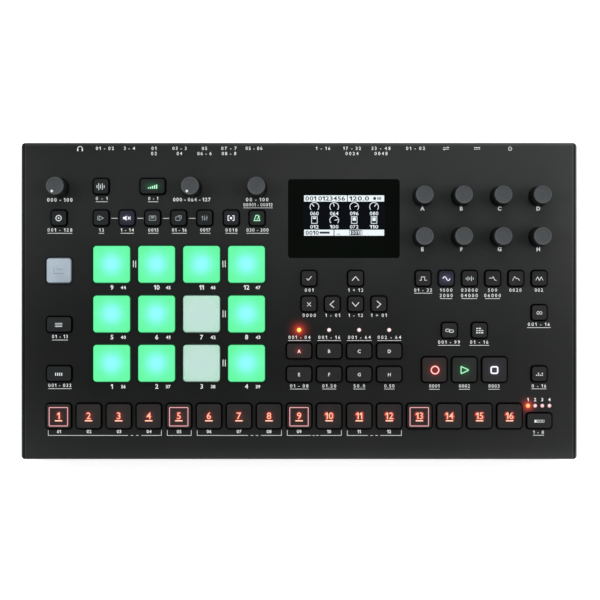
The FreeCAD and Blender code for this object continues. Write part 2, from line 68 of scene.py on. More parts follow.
class Mat:
    """A small builder round one Principled material."""

    def __init__(self, name):
        self.mat = bpy.data.materials.new(name)
        self.mat.use_nodes = True
        self.nt = self.mat.node_tree
        self.n = self.nt.nodes
        self.l = self.nt.links
        self.bsdf = next(x for x in self.n if x.type == "BSDF_PRINCIPLED")
        self._pos = None

    def set(self, **kw):
        for k, v in kw.items():
            self.bsdf.inputs[k.replace("_", " ")].default_value = v
        return self

    def node(self, kind, **kw):
        x = self.n.new(kind)
        for k, v in kw.items():
            setattr(x, k, v)
        return x

    def pos(self):
        if self._pos is None:
            self._pos = self.node("ShaderNodeTexCoord").outputs["Object"]
        return self._pos

    def noise(self, scale, detail=2.0, rough=0.5, distortion=0.0, vector=None):
        x = self.node("ShaderNodeTexNoise")
        x.inputs["Scale"].default_value = scale
        x.inputs["Detail"].default_value = detail
        x.inputs["Roughness"].default_value = rough
        x.inputs["Distortion"].default_value = distortion
        self.l.new(vector or self.pos(), x.inputs["Vector"])
        return x.outputs["Fac"]

    def ramp(self, fac, stops, interpolation="LINEAR"):
        x = self.node("ShaderNodeValToRGB")
        x.color_ramp.interpolation = interpolation
        while len(x.color_ramp.elements) < len(stops):
            x.color_ramp.elements.new(0.5)
        for e, (p, c) in zip(x.color_ramp.elements, stops):
            e.position = p
            e.color = c if len(c) == 4 else (*c, 1.0)
        self.l.new(fac, x.inputs["Fac"])
        return x.outputs["Color"]

    def math(self, op, a, b=None, c=None, clamp=False):
        x = self.node("ShaderNodeMath", operation=op, use_clamp=clamp)
        for i, v in enumerate((a, b, c)):
            if v is None:
                continue
            if isinstance(v, (int, float)):
                x.inputs[i].default_value = v
            else:
                self.l.new(v, x.inputs[i])
        return x.outputs[0]

    def vmath(self, op, a, b=None, scale=None):
        x = self.node("ShaderNodeVectorMath", operation=op)
        for i, v in enumerate((a, b)):
            if v is None:
                continue
            if isinstance(v, (tuple, list, Vector)):
                x.inputs[i].default_value = v
            else:
                self.l.new(v, x.inputs[i])
        if scale is not None:
            if isinstance(scale, (int, float)):
                x.inputs["Scale"].default_value = scale
            else:
                self.l.new(scale, x.inputs["Scale"])
        return x.outputs["Value"] if op in ("LENGTH", "DOT_PRODUCT", "DISTANCE") else x.outputs["Vector"]

    def mix(self, fac, a, b):
        x = self.node("ShaderNodeMix", data_type="RGBA")
        for key, v in ((0, fac), (6, a), (7, b)):
            if isinstance(v, (int, float, tuple)):
                x.inputs[key].default_value = v
            else:
                self.l.new(v, x.inputs[key])
        return x.outputs[2]

    def bump(self, height, strength, distance, normal=None):
        x = self.node("ShaderNodeBump")
        x.inputs["Strength"].default_value = strength
        x.inputs["Distance"].default_value = distance
        self.l.new(height, x.inputs["Height"])
        if normal is not None:
            self.l.new(normal, x.inputs["Normal"])
        return x.outputs["Normal"]

    def link(self, out, name):
        self.l.new(out, self.bsdf.inputs[name])
        return self

    def halo(self, centre, sx, sy, colour):
        """colour times a soft spot round a point, wider along the panel than across it if asked."""
        d = self.vmath("SUBTRACT", self.pos(), tuple(centre))
        d = self.vmath("MULTIPLY", d, (1000.0 / sx, 1000.0 / sy, 0.0))
        r = self.vmath("LENGTH", d)
        f = self.math("EXPONENT", self.math("MULTIPLY", self.math("MULTIPLY", r, r), -1.0))
        return self.vmath("SCALE", tuple(colour[:3]), scale=f)

    def glow(self, halos):
        """Adds up the halos and feeds them to the emission; on the panel and the key caps this is painted glow of lamp
        light.
        """
        total = None
        for gx, gy, sx, sy, colour in halos:
            u, v = at(gx, gy)
            h = self.halo(mm(u, v, 0.0), sx, sy, colour)
            total = h if total is None else self.vmath("ADD", total, h)
        if total is not None:
            self.link(total, "Emission Color")
            self.bsdf.inputs["Emission Strength"].default_value = 1.0
        return self


def height_mask(m, w0, w1):
    """0 below w0 mm over the panel, 1 above w1 mm."""
    up = m.vmath("DOT_PRODUCT", m.vmath("SUBTRACT", m.pos(), tuple(ORIGIN * 0.001)), tuple(W))
    return m.math("MULTIPLY", m.math("SUBTRACT", up, w0 * 0.001), 1000.0 / (w1 - w0), clamp=True)


def band(m, value, centre, half, soft):
    """1 within half of the centre, falling to 0 over soft."""
    d = m.math("ABSOLUTE", m.math("SUBTRACT", value, centre))
    return m.math("MULTIPLY", m.math("SUBTRACT", half + soft, d), 1.0 / soft, clamp=True)


def powder_coat(name, base, dark, halos=(), painted_light_fit=None):
    """Fine-grained satin powder coat on steel. Given the fitted brightness terms, it also paints light and shade on the
    panel: darker in its middle, painted shade in the side seams, on the rear fold and on the hole edges, painted
    highlights on the glint lines, the side lips and the front fold.
    """
    m = Mat(name)
    large = m.noise(9.0, 3.0, 0.55)
    fine = m.noise(2600.0, 2.0, 0.6)
    tone = m.ramp(large, [(0.3, dark), (0.72, base)])
    if painted_light_fit is not None:
        # painted light and shade: a fitted brightness over the panel, darker in its middle and lighter towards its
        # edges
        k0, kx, ky, kxx, kyy, kxy, kx4, ky4, kx3, ky3 = painted_light_fit
        sep = m.node("ShaderNodeSeparateXYZ")
        m.l.new(m.pos(), sep.inputs[0])
        x = m.math("MULTIPLY", sep.outputs[0], 10.0)
        y = m.math("MULTIPLY_ADD", sep.outputs[1], 10.0, 0.015)
        f = m.math("MULTIPLY_ADD", x, kx, k0)
        f = m.math("MULTIPLY_ADD", y, ky, f)
        xx, yy = m.math("MULTIPLY", x, x), m.math("MULTIPLY", y, y)
        for term, k in ((xx, kxx), (yy, kyy), (m.math("MULTIPLY", x, y), kxy), (m.math("MULTIPLY", xx, xx), kx4),
                        (m.math("MULTIPLY", yy, yy), ky4), (m.math("MULTIPLY", xx, x), kx3),
                        (m.math("MULTIPLY", yy, y), ky3)):
            f = m.math("MULTIPLY_ADD", term, k, f)
        f = m.math("MAXIMUM", f, 0.55)
        # painted shade in the seam between the panel and the side folds and on the dark rear fold, painted highlights
        # on the glint lines, the side lips and the paler front fold
        high = height_mask(m, -2.4, -1.9)
        side = m.math("MULTIPLY", band(m, m.math("ABSOLUTE", sep.outputs[0]), 0.19030, 0.00026, 0.00030), high)
        along = m.vmath("DOT_PRODUCT", m.vmath("SUBTRACT", m.pos(), tuple(ORIGIN * 0.001)), tuple(V))
        rear = m.math("MULTIPLY", m.math("MULTIPLY", m.math("SUBTRACT", along, 0.1083), 2500.0, clamp=True), high)
        seam_painted_shade = m.math("MAXIMUM", side, rear)
        glint = m.math("ADD", band(m, m.math("ABSOLUTE", sep.outputs[0]), 0.18945, 0.00012, 0.00030),
                       band(m, along, 0.1079, 0.00010, 0.00026))
        lip = m.math("MULTIPLY", m.math("SUBTRACT", m.math("ABSOLUTE", sep.outputs[0]), 0.1908), 3000.0, clamp=True)
        front = m.math("MULTIPLY", m.math("SUBTRACT", m.math("MULTIPLY", along, -1.0), 0.0975), 1.0 / 0.012, clamp=True)
        front = m.math("MULTIPLY", m.math("MULTIPLY", front, front), height_mask(m, -6.0, -2.0))
        front = m.math("MULTIPLY", front, m.math("MULTIPLY", m.math("ADD", x, 1.9), 0.7, clamp=True))
        f = m.math("MULTIPLY", f, m.math("MULTIPLY_ADD", front, 0.75, 1.0))
        f = m.math("MULTIPLY", f, m.math("MULTIPLY_ADD", m.math("MULTIPLY", glint, high), 1.05, 1.0))
        f = m.math("MULTIPLY", f, m.math("MULTIPLY_ADD", m.math("MULTIPLY", lip, high), 0.75, 1.0))
        f = m.math("MULTIPLY", f, m.math("MULTIPLY_ADD", seam_painted_shade, -0.93, 1.0))
        # the cut edges inside the panel's holes stay in the dark
        hole = m.math("SUBTRACT", 1.0, height_mask(m, -0.40, -0.06))
        hole = m.math("MULTIPLY", hole, m.math("LESS_THAN", m.math("ABSOLUTE", x), 1.87))
        hole = m.math("MULTIPLY", hole, m.math("LESS_THAN", m.math("ABSOLUTE", y), 1.03))
        f = m.math("MULTIPLY", f, m.math("MULTIPLY_ADD", hole, -0.88, 1.0))
        spec = m.math("MULTIPLY_ADD", hole, -0.14, 0.16)
        m.link(m.math("MULTIPLY", spec, m.math("MULTIPLY_ADD", seam_painted_shade, -0.97, 1.0)), "Specular IOR Level")
        tone = m.vmath("SCALE", tone, scale=f)
    speck = m.ramp(fine, [(0.3, (0.80, 0.80, 0.80)), (0.7, (1.15, 1.15, 1.15))])
    mul = m.node("ShaderNodeMix", data_type="RGBA", blend_type="MULTIPLY")
    mul.inputs[0].default_value = 1.0
    m.l.new(tone, mul.inputs[6])
    m.l.new(speck, mul.inputs[7])
    m.link(mul.outputs[2], "Base Color")
    rough = m.ramp(m.noise(38.0, 4.0, 0.6), [(0.35, (0.43, 0.43, 0.43)), (0.65, (0.52, 0.52, 0.52))])
    m.link(rough, "Roughness")
    grain = m.noise(2300.0, 3.0, 0.65)
    peel = m.noise(420.0, 2.0, 0.5)
    n = m.bump(grain, 0.35, 0.00006)
    n = m.bump(peel, 0.25, 0.00008, n)
    if painted_light_fit is not None:
        n = m.bump(m.math("SUBTRACT", 1.0, side), 0.5, 0.0003, n)
    m.link(n, "Normal")
    m.set(Metallic=0.0)
    if painted_light_fit is None:
        m.set(Specular_IOR_Level=0.2)
    m.glow(halos)
    return m.mat


def moulded(name, base, rough=0.5, grain=3200.0, grain_depth=0.00003, spec=0.2, halos=(), painted_light_rim=None):
    """Fine matte moulded plastic. With a rim factor, the cap's rolled edge and sides are painted darker and duller than
    its top, as painted shade.
    """
    m = Mat(name)
    tone = m.noise(55.0, 3.0, 0.5)
    hi = tuple(min(1.0, c * 1.12) for c in base[:3])
    lo = tuple(c * 0.88 for c in base[:3])
    colour = m.ramp(tone, [(0.3, lo), (0.7, hi)])
    r = m.ramp(m.noise(210.0, 3.0, 0.6), [(0.3, (rough - 0.05,) * 3), (0.7, (rough + 0.06,) * 3)])
    m.link(r, "Roughness")
    m.link(m.bump(m.noise(grain, 2.0, 0.6), 0.3, grain_depth), "Normal")
    m.set(Specular_IOR_Level=spec)
    if painted_light_rim is not None:
        # painted shade: the rolled edge and sides darker and with less sheen than the top
        top = height_mask(m, 1.70, 1.895)
        colour = m.vmath("SCALE", colour, scale=m.math("MULTIPLY_ADD", top, 1.0 - painted_light_rim, painted_light_rim))
        m.link(m.math("MULTIPLY_ADD", top, spec * 0.85, spec * 0.15), "Specular IOR Level")
    m.link(colour, "Base Color")
    m.glow(halos)
    return m.mat


def steel(name, base, rough=0.32, stretch=(1.0, 1.0, 1.0)):
    m = Mat(name)
    s = m.vmath("MULTIPLY", m.pos(), stretch)
    brushed = m.noise(900.0, 4.0, 0.7, vector=s)
    m.link(m.ramp(brushed, [(0.3, tuple(c * 0.82 for c in base)), (0.7, base)]), "Base Color")
    m.link(m.ramp(brushed, [(0.3, (rough - 0.06,) * 3), (0.7, (rough + 0.1,) * 3)]), "Roughness")
    m.link(m.bump(brushed, 0.12, 0.00003), "Normal")
    m.set(Metallic=1.0)
    return m.mat


def lamp(name, colour, strength, base=(0.02, 0.02, 0.02)):
    """Ink or a lens lit from below, with a slightly uneven light."""
    m = Mat(name)
    m.set(Base_Color=(*base, 1.0), Roughness=0.5, Emission_Strength=strength)
    even = m.noise(900.0, 1.0, 0.5)
    a = tuple(c * 0.93 for c in colour[:3])
    m.link(m.ramp(even, [(0.3, a), (0.7, tuple(colour[:3]))]), "Emission Color")
    return m.mat


def ink(name, colour, rough=0.45):
    """Screen-printed ink."""
    m = Mat(name)
    f = m.noise(1500.0, 3.0, 0.7)
    m.link(m.ramp(f, [(0.25, tuple(c * 0.86 for c in colour[:3])), (0.65, tuple(colour[:3]))]), "Base Color")
    m.link(m.ramp(f, [(0.3, (rough - 0.06,) * 3), (0.7, (rough + 0.08,) * 3)]), "Roughness")
    return m.mat


def silicone(name, centre, lit):
    """Translucent silicone pad, lit from a lamp under its middle or dark."""
    m = Mat(name)
    cloud = m.noise(130.0, 3.0, 0.5)
    fine = m.noise(2800.0, 2.0, 0.6)
    c = mm(*centre, 0.0)
    d = m.vmath("MULTIPLY", m.vmath("SUBTRACT", m.pos(), tuple(c)), (1000.0, 1000.0, 0.0))
    r = m.vmath("LENGTH", d)
    if lit:
        top = height_mask(m, 0.7, 1.85)
        m.link(m.ramp(cloud, [(0.2, (0.016, 0.085, 0.04)), (0.8, (0.022, 0.11, 0.055))]), "Base Color")
        q = m.math("MULTIPLY", r, 1.0 / 7.2)
        spot = m.math("EXPONENT", m.math("MULTIPLY", m.math("MULTIPLY", q, q), -1.0))
        glow = m.mix(spot, (0.112, 0.90, 0.325, 1.0), (0.29, 0.97, 1.10, 1.0))
        even = m.math("MULTIPLY_ADD", cloud, 0.08, 0.96)
        edge = m.math("MULTIPLY_ADD", top, 0.93, 0.03)
        m.link(glow, "Emission Color")
        m.link(m.math("MULTIPLY", even, edge), "Emission Strength")
    else:
        f = m.math("MULTIPLY", r, 1.0 / 18.0, clamp=True)
        col = m.ramp(f, [(0.0, (0.565, 0.78, 0.72)), (0.55, (0.56, 0.80, 0.71)), (0.85, (0.49, 0.78, 0.63)),
                         (1.0, (0.42, 0.74, 0.55))])
        # painted shade: the pad's sides darker than its top
        col = m.vmath("SCALE", col, scale=m.math("MULTIPLY_ADD", height_mask(m, 0.7, 1.9), 0.75, 0.25))
        m.link(col, "Base Color")
        m.set(Subsurface_Weight=0.12, Subsurface_Scale=0.002)
        m.bsdf.inputs["Subsurface Radius"].default_value = (0.8, 1.0, 0.9)
    m.set(Roughness=0.55, Specular_IOR_Level=0.3)
    n = m.bump(fine, 0.18, 0.00003)
    m.link(m.bump(cloud, 0.1, 0.0001, n), "Normal")
    return m.mat


def assign(node, mat):
    ob = nodes[node]
    if not ob.material_slots:
        ob.data.materials.append(mat)
    for s in ob.material_slots:
        s.material = mat


# ------------------------------------------------------------------
# printed and lit marks: thin closed solids that lie on the panel, a key
# or a knob, built flat and stood on their surface
# ------------------------------------------------------------------
_glyphs = {}
CAP = None


def one_glyph(ch, bold):
    """Flat triangles of one character, one unit of type size, from x = 0."""
    key = (ch, bold)
    if key in _glyphs:
        return _glyphs[key]
    if ch == "1":
        t = CAP * 0.17 + 2.0 * bold
        verts = [(CAP * 0.22, -bold), (CAP * 0.22 + t, -bold), (CAP * 0.22 + t, CAP + bold), (CAP * 0.18, CAP + bold),
                 (0.0, CAP * 0.82), (0.0, CAP * 0.82 - t * 1.05), (CAP * 0.22, CAP * 0.90 - t * 1.05)]
        faces = [(0, 1, 2, 6), (6, 2, 3), (6, 3, 4, 5)]
    else:
        cu = bpy.data.curves.new("type", "FONT")
        cu.body = ch
        cu.size = 1.0
        cu.offset = bold
        cu.resolution_u = 3
        ob = bpy.data.objects.new("type", cu)
        bpy.context.scene.collection.objects.link(ob)
        bpy.context.view_layer.update()
        me = bpy.data.meshes.new_from_object(ob.evaluated_get(bpy.context.evaluated_depsgraph_get()))
        verts = [(v.co.x, v.co.y) for v in me.vertices]
        faces = [tuple(p.vertices) for p in me.polygons]
        bpy.data.objects.remove(ob)
        bpy.data.curves.remove(cu)
        bpy.data.meshes.remove(me)
        x0 = min(x for x, _ in verts)
        verts = [(x - x0, y) for x, y in verts]
    _glyphs[key] = (verts, faces)
    return _glyphs[key]


def cap_height():
    verts, _ = one_glyph("H", 0.0)
    return max(y for _, y in verts) - min(y for _, y in verts)


CAP = cap_height()


def glyph_mesh(text, bold, track=0.0):
    """Flat triangles of a piece of text, one unit of type size, its characters set apart by track more."""
    verts, faces, x = [], [], 0.0
    for ch in text:
        if ch == " ":
            x += 0.20 + track
            continue
        vs, fs = one_glyph(ch, bold)
        n = len(verts)
        verts += [(x + a, b) for a, b in vs]
        faces += [tuple(n + i for i in f) for f in fs]
        x += max(a for a, _ in vs) + 0.085 + track
    return verts, faces


class Marks:
    """Collects flat marks that ride on one body and share one material."""

    every = {}

    def __init__(self, name, body, mat, slot, w, thick=0.035):
        self.name, self.body, self.mat, self.slot = name, body, mat, slot
        self.w, self.thick = w, thick
        self.verts, self.faces = [], []
        Marks.every[name] = self

    def add(self, verts, faces, w=None, thick=None):
        """Flat faces in panel mm, counter-clockwise from above, made into a thin closed solid."""
        w = self.w if w is None else w
        thick = self.thick if thick is None else thick
        area = 0.0
        for f in faces:
            for i in range(len(f)):
                x0, y0 = verts[f[i]]
                x1, y1 = verts[f[(i + 1) % len(f)]]
                area += x0 * y1 - x1 * y0
        if area < 0:
            faces = [tuple(reversed(f)) for f in faces]
        # weld points that share a place, so that the rim is found
        seen, index, flat = {}, [], []
        for x, y in verts:
            k = (round(x, 5), round(y, 5))
            if k not in seen:
                seen[k] = len(flat)
                flat.append((x, y))
            index.append(seen[k])
        clean = []
        for f in faces:
            g = []
            for i in f:
                j = index[i]
                if not g or g[-1] != j:
                    g.append(j)
            if len(g) > 2 and g[0] == g[-1]:
                g.pop()
            if len(set(g)) > 2:
                clean.append(tuple(g))
        n0, n = len(self.verts), len(flat)
        self.verts += [mm(x, y, w + thick) for x, y in flat]
        self.verts += [mm(x, y, w) for x, y in flat]
        edges = {}
        for f in clean:
            for i in range(len(f)):
                edges[(f[i], f[(i + 1) % len(f)])] = edges.get((f[i], f[(i + 1) % len(f)]), 0) + 1
        for f in clean:
            self.faces.append(tuple(n0 + i for i in f))
            self.faces.append(tuple(n0 + n + i for i in reversed(f)))
        for (a, b) in edges:
            if (b, a) not in edges:
                self.faces.append((n0 + b, n0 + a, n0 + n + a, n0 + n + b))
        return self

    def text(self, s, gx, gy, h, bold=0.0, width=None, du=0.0, dv=0.0, span=None):
        """Text with capitals h mm high, centred on a grid place. A span in mm sets its characters apart to fill it."""
        verts, faces = glyph_mesh(s, bold)
        k = h / CAP
        xs = [x for x, _ in verts]
        if span is not None and len(s) > 1:
            track = (span / k - (max(xs) - min(xs))) / (len(s) - 1)
            verts, faces = glyph_mesh(s, bold, min(0.24, max(-0.02, track)))
            xs = [x for x, _ in verts]
        x0, x1 = min(xs), max(xs)
        kx = k if width is None else width / (x1 - x0)
        u, v = at(gx, gy)
        u, v = u + du, v + dv
        cx = (x0 + x1) / 2.0
        return self.add([(u + (x - cx) * kx, v + y * k - h / 2.0) for x, y in verts], faces)

    def rect(self, gx0, gy0, gx1, gy1):
        """A bar between two grid places."""
        (a, b), (c, d) = at(gx0, gy1), at(gx1, gy0)
        return self.add([(a, b), (c, b), (c, d), (a, d)], [(0, 1, 2, 3)])

    def bar(self, u, v, w, h):
        return self.add([(u - w / 2, v - h / 2), (u + w / 2, v - h / 2), (u + w / 2, v + h / 2), (u - w / 2, v + h / 2)],
                        [(0, 1, 2, 3)])

    def under(self, gx0, gx1, gy, h=0.38):
        (a, b), (c, _) = at(gx0, gy), at(gx1, gy)
        return self.bar((a + c) / 2, b, c - a, h)

    def disc(self, u, v, r, n=28):
        return self.add([(u + r * math.cos(2 * math.pi * i / n), v + r * math.sin(2 * math.pi * i / n)) for i in range(n)],
                        [tuple(range(n))])

    def stroke(self, pts, width, closed=False):
        """A line of even width through points in panel mm."""
        n = len(pts)
        left, right = [], []
        for i in range(n):
            if closed:
                a, b, c = pts[i - 1], pts[i], pts[(i + 1) % n]
            else:
                a, b, c = pts[max(i - 1, 0)], pts[i], pts[min(i + 1, n - 1)]
            d0 = Vector((b[0] - a[0], b[1] - a[1]))
            d1 = Vector((c[0] - b[0], c[1] - b[1]))
            if d0.length < 1e-9:
                d0 = d1
            if d1.length < 1e-9:
                d1 = d0
            d0, d1 = d0.normalized(), d1.normalized()
            t = (d0 + d1)
            t = t.normalized() if t.length > 1e-6 else d0
            nrm = Vector((-t.y, t.x))
            s = width / 2 / max(0.35, nrm.dot(Vector((-d0.y, d0.x))))
            left.append((b[0] + nrm.x * s, b[1] + nrm.y * s))
            right.append((b[0] - nrm.x * s, b[1] - nrm.y * s))
        verts = left + right
        faces = []
        for i in range(n if closed else n - 1):
            j = (i + 1) % n
            faces.append((i, n + i, n + j, j))
        return self.add(verts, faces)

    def ring(self, u, v, r, width, a0=0.0, a1=360.0, n=36):
        full = abs(a1 - a0) >= 359.9
        k = n if full else n + 1
        pts = [(u + r * math.cos(math.radians(a0 + (a1 - a0) * i / n)),
                v + r * math.sin(math.radians(a0 + (a1 - a0) * i / n))) for i in range(k)]
        return self.stroke(pts, width, closed=full)

    def frame(self, u, v, w, h, r, width, steps=4):
        """A rounded outline."""
        pts = []
        for sx, sy, a in ((1, -1, -90), (1, 1, 0), (-1, 1, 90), (-1, -1, 180)):
            for k in range(steps + 1):
                t = math.radians(a + 90.0 / steps * k)
                pts.append((u + sx * (w / 2 - r) + r * math.cos(t), v + sy * (h / 2 - r) + r * math.sin(t)))
        return self.stroke(pts, width, closed=True)

    def build(self):
        if not self.faces:
            return None
        me = bpy.data.meshes.new(self.name)
        me.from_pydata([tuple(v) for v in self.verts], [], self.faces)
        me.validate()
        me.materials.append(self.mat)
        ob = bpy.data.objects.new(self.name, me)
        bpy.context.scene.collection.objects.link(ob)
        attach(ob, self.body)
        return ob


# ------------------------------------------------------------------
# places
# ------------------------------------------------------------------
trig = [(59.1 + 30.0 * i, 415.9) for i in range(16)]
pads = [(x, y) for y in (363.2, 314.0, 264.4) for x in (112.0, 156.85, 201.7, 246.6)]
knobs = {"knob_main_volume": (59.6, 188.0), "knob_performance": (192.0, 188.0), "knob_track_level": (257.1, 188.0)}
for i, letter in enumerate("abcdefgh"):
    knobs["knob_" + letter] = ((422.3, 460.9, 499.5, 538.1)[i % 4], (196.6, 237.3)[i // 4])

RED = (1.0, 0.07, 0.025)
GREEN = (0.03, 1.0, 0.22)
COLD = (0.55, 0.6, 1.0)


def c(colour, k):
    return tuple(x * k for x in colour)


# ------------------------------------------------------------------
# finishes of the construction's own pieces
# ------------------------------------------------------------------
# painted glow: the light of the two lit lamps spread on the panel round them
panel_halos = [(299.1, 330.0, 4.6, 4.6, (0.30, 0.018, 0.012)), (299.1, 330.0, 2.5, 2.5, (0.5, 0.04, 0.02)),
               (527.9, 405.7, 3.9, 3.9, (0.26, 0.012, 0.016)), (527.9, 405.7, 2.4, 2.4, (0.45, 0.04, 0.02))]
assign("top_case", powder_coat("case_paint", (0.0150, 0.0152, 0.0152), (0.0128, 0.0142, 0.0137), panel_halos,
                               (0.946, 0.301, 1.258, -0.064, 0.961, 0.201, 0.052, -0.416, -0.013, -0.959)))
assign("base_tray", powder_coat("tray_paint", (0.024, 0.024, 0.0245), (0.020, 0.020, 0.0205)))
assign("rubber_feet", moulded("foot_rubber", (0.016, 0.016, 0.016), 0.78, 1500.0, 0.00008, 0.25))
assign("fasteners", steel("steel", (0.50, 0.50, 0.51)))
assign("display_module", moulded("module_plastic", (0.015, 0.015, 0.016), 0.6))
assign("circuit_boards", moulded("board_mask", (0.012, 0.10, 0.04), 0.4, 1800.0))
assign("key_switches", moulded("switch_plastic", (0.02, 0.02, 0.021), 0.5))
assign("encoder_bodies", steel("encoder_metal", (0.42, 0.42, 0.43), 0.4))
assign("audio_jacks", moulded("jack_plastic", (0.012, 0.012, 0.012), 0.38))
assign("digital_sockets", moulded("socket_plastic", (0.016, 0.016, 0.017), 0.42))
assign("power_button", moulded("button_plastic", (0.022, 0.022, 0.022), 0.45))

glass = Mat("window_gloss")
glass.set(Roughness=0.05, Specular_IOR_Level=0.34, Coat_Weight=0.25, Coat_Roughness=0.03)
glass.link(glass.ramp(glass.noise(14.0, 4.0, 0.6), [(0.35, (0.045,) * 3), (0.7, (0.085,) * 3)]), "Roughness")
glass.link(glass.ramp(glass.noise(20.0, 2.0, 0.5), [(0.3, (0.0012, 0.0024, 0.0014)), (0.7, (0.0020, 0.0030, 0.0022))]),
           "Base Color")
assign("display_window", glass.mat)

lens = Mat("lens_clear")
lens.set(Roughness=0.3, Specular_IOR_Level=0.4)
near = None
for gx, gy in [(299.1 + 30.0 * j, 330.0) for j in range(4)] + [(527.9 + 7.13 * k, 405.7) for k in range(4)]:
    d = lens.vmath("MULTIPLY", lens.vmath("SUBTRACT", lens.pos(), tuple(mm(*at(gx, gy), 0.0))), (1000.0, 1000.0, 0.0))
    d = lens.vmath("LENGTH", d)
    near = d if near is None else lens.math("MINIMUM", near, d)
grit = lens.math("MULTIPLY_ADD", lens.noise(700.0, 2.0, 0.5), 0.25, -0.125)
ring = lens.math("MULTIPLY", lens.math("ADD", near, grit), 1.0 / 1.6, clamp=True)
body_tone = lens.ramp(ring, [(0.0, (0.92, 0.80, 0.80)), (0.66, (0.85, 0.66, 0.67)), (0.82, (0.30, 0.08, 0.08)),
                             (0.94, (0.018, 0.004, 0.004)), (1.0, (0.010, 0.003, 0.003))])
for gx, gy in ((299.1, 330.0), (527.9, 405.7)):
    lit_here = lens.halo(mm(*at(gx, gy), 0.0), 2.2, 2.2, (0.92, 0.92, 0.92))
    body_tone = lens.vmath("MULTIPLY", body_tone, lens.vmath("SUBTRACT", (1.0, 1.0, 1.0), lit_here))
lens.link(body_tone, "Base Color")
lens.glow([(299.1, 330.0, 1.35, 1.35, (3.0, 1.35, 0.10)), (299.1, 330.0, 2.6, 2.6, (0.7, 0.05, 0.01)),
           (527.9, 405.7, 1.2, 1.2, (2.6, 0.78, 0.14)), (527.9, 405.7, 2.4, 2.4, (0.7, 0.05, 0.01)),
           (329.1, 330.0, 1.15, 1.15, (0.55, 0.42, 0.42)), (359.1, 330.0, 1.15, 1.15, (0.55, 0.42, 0.42)),
           (389.1, 330.0, 1.15, 1.15, (0.55, 0.42, 0.42)), (535.0, 405.7, 1.1, 1.1, (0.28, 0.08, 0.09)),
           (542.2, 405.7, 1.1, 1.1, (0.28, 0.08, 0.09)), (549.3, 405.7, 1.1, 1.1, (0.28, 0.08, 0.09))])
assign("led_lenses", lens.mat)

KEY_BASE = (0.0190, 0.0189, 0.0186)
LEFT_BASE = (0.0132, 0.0156, 0.0164)
# how dark the painted shade on the caps' rolled edges and sides is
CAP_SIDE_SHADE = 0.10
# the halos on the caps are painted glow of their lit legends
for i, (gx, gy) in enumerate(trig):
    assign("trig_key_%d" % (i + 1), moulded(
        "trig_cap_%d" % (i + 1), KEY_BASE, 0.5, painted_light_rim=CAP_SIDE_SHADE,
        halos=[(gx + 0.2, gy + 0.8, 2.9, 2.9, (0.085, 0.008, 0.003)), (gx, gy, 7.0, 7.0, (0.006, 0.0, 0.0))]))
assign("record_key", moulded("record_cap", KEY_BASE, 0.5, painted_light_rim=CAP_SIDE_SHADE, halos=[
    (434.7, 369.9, 3.1, 3.1, (0.15, 0.002, 0.001)), (434.1, 369.5, 6.0, 6.0, (0.030, 0.004, 0.003))]))
assign("play_key", moulded("play_cap", KEY_BASE, 0.5, painted_light_rim=CAP_SIDE_SHADE, halos=[
    (464.1, 369.9, 2.9, 2.9, (0.004, 0.06, 0.02)), (464.1, 369.5, 7.0, 7.0, (0.001, 0.010, 0.003))]))
assign("stop_key", moulded("stop_cap", KEY_BASE, 0.5, painted_light_rim=CAP_SIDE_SHADE, halos=[
    (493.9, 369.9, 3.2, 3.2, (0.022, 0.022, 0.045)), (494.1, 369.5, 7.0, 7.0, (0.006, 0.006, 0.012))]))
assign("function_key", moulded("function_cap", (0.40, 0.475, 0.545), 0.48, 2600.0, 0.00004, 0.3, painted_light_rim=0.55))
assign("mode_keys", moulded("mode_caps", LEFT_BASE, 0.5, painted_light_rim=CAP_SIDE_SHADE, halos=[
    (152.9, 186.7, 4.6, 2.2, (0.004, 0.075, 0.022)), (127.1, 218.3, 3.6, 2.4, (0.03, 0.03, 0.07)),
    (127.3, 218.1, 6.0, 6.0, (0.004, 0.005, 0.014)),
    (231.2, 218.3, 3.4, 2.4, (0.016, 0.018, 0.04)), (257.1, 218.3, 2.9, 2.9, (0.003, 0.04, 0.012))]))
assign("navigation_keys", moulded("navigation_caps", KEY_BASE, 0.5, painted_light_rim=CAP_SIDE_SHADE))
assign("bank_keys", moulded("bank_caps", KEY_BASE, 0.5, painted_light_rim=CAP_SIDE_SHADE, halos=[
    (299.1, 350.8, 2.4, 2.2, (0.10, 0.006, 0.006)), (299.1, 350.8, 6.5, 5.0, (0.010, 0.001, 0.001))]))
assign("page_keys", moulded("page_caps", KEY_BASE, 0.5, painted_light_rim=CAP_SIDE_SHADE, halos=[
    (446.1, 278.7, 3.4, 2.4, (0.045, 0.045, 0.10)), (446.1, 278.4, 6.0, 6.0, (0.004, 0.004, 0.016))]))

for i, (gx, gy) in enumerate(pads):
    n = "pad_%d" % (i + 1)
    lit = n not in ("pad_3", "pad_7")
    assign(n, silicone("pad_silicone_%d" % (i + 1), at(gx, gy), lit))


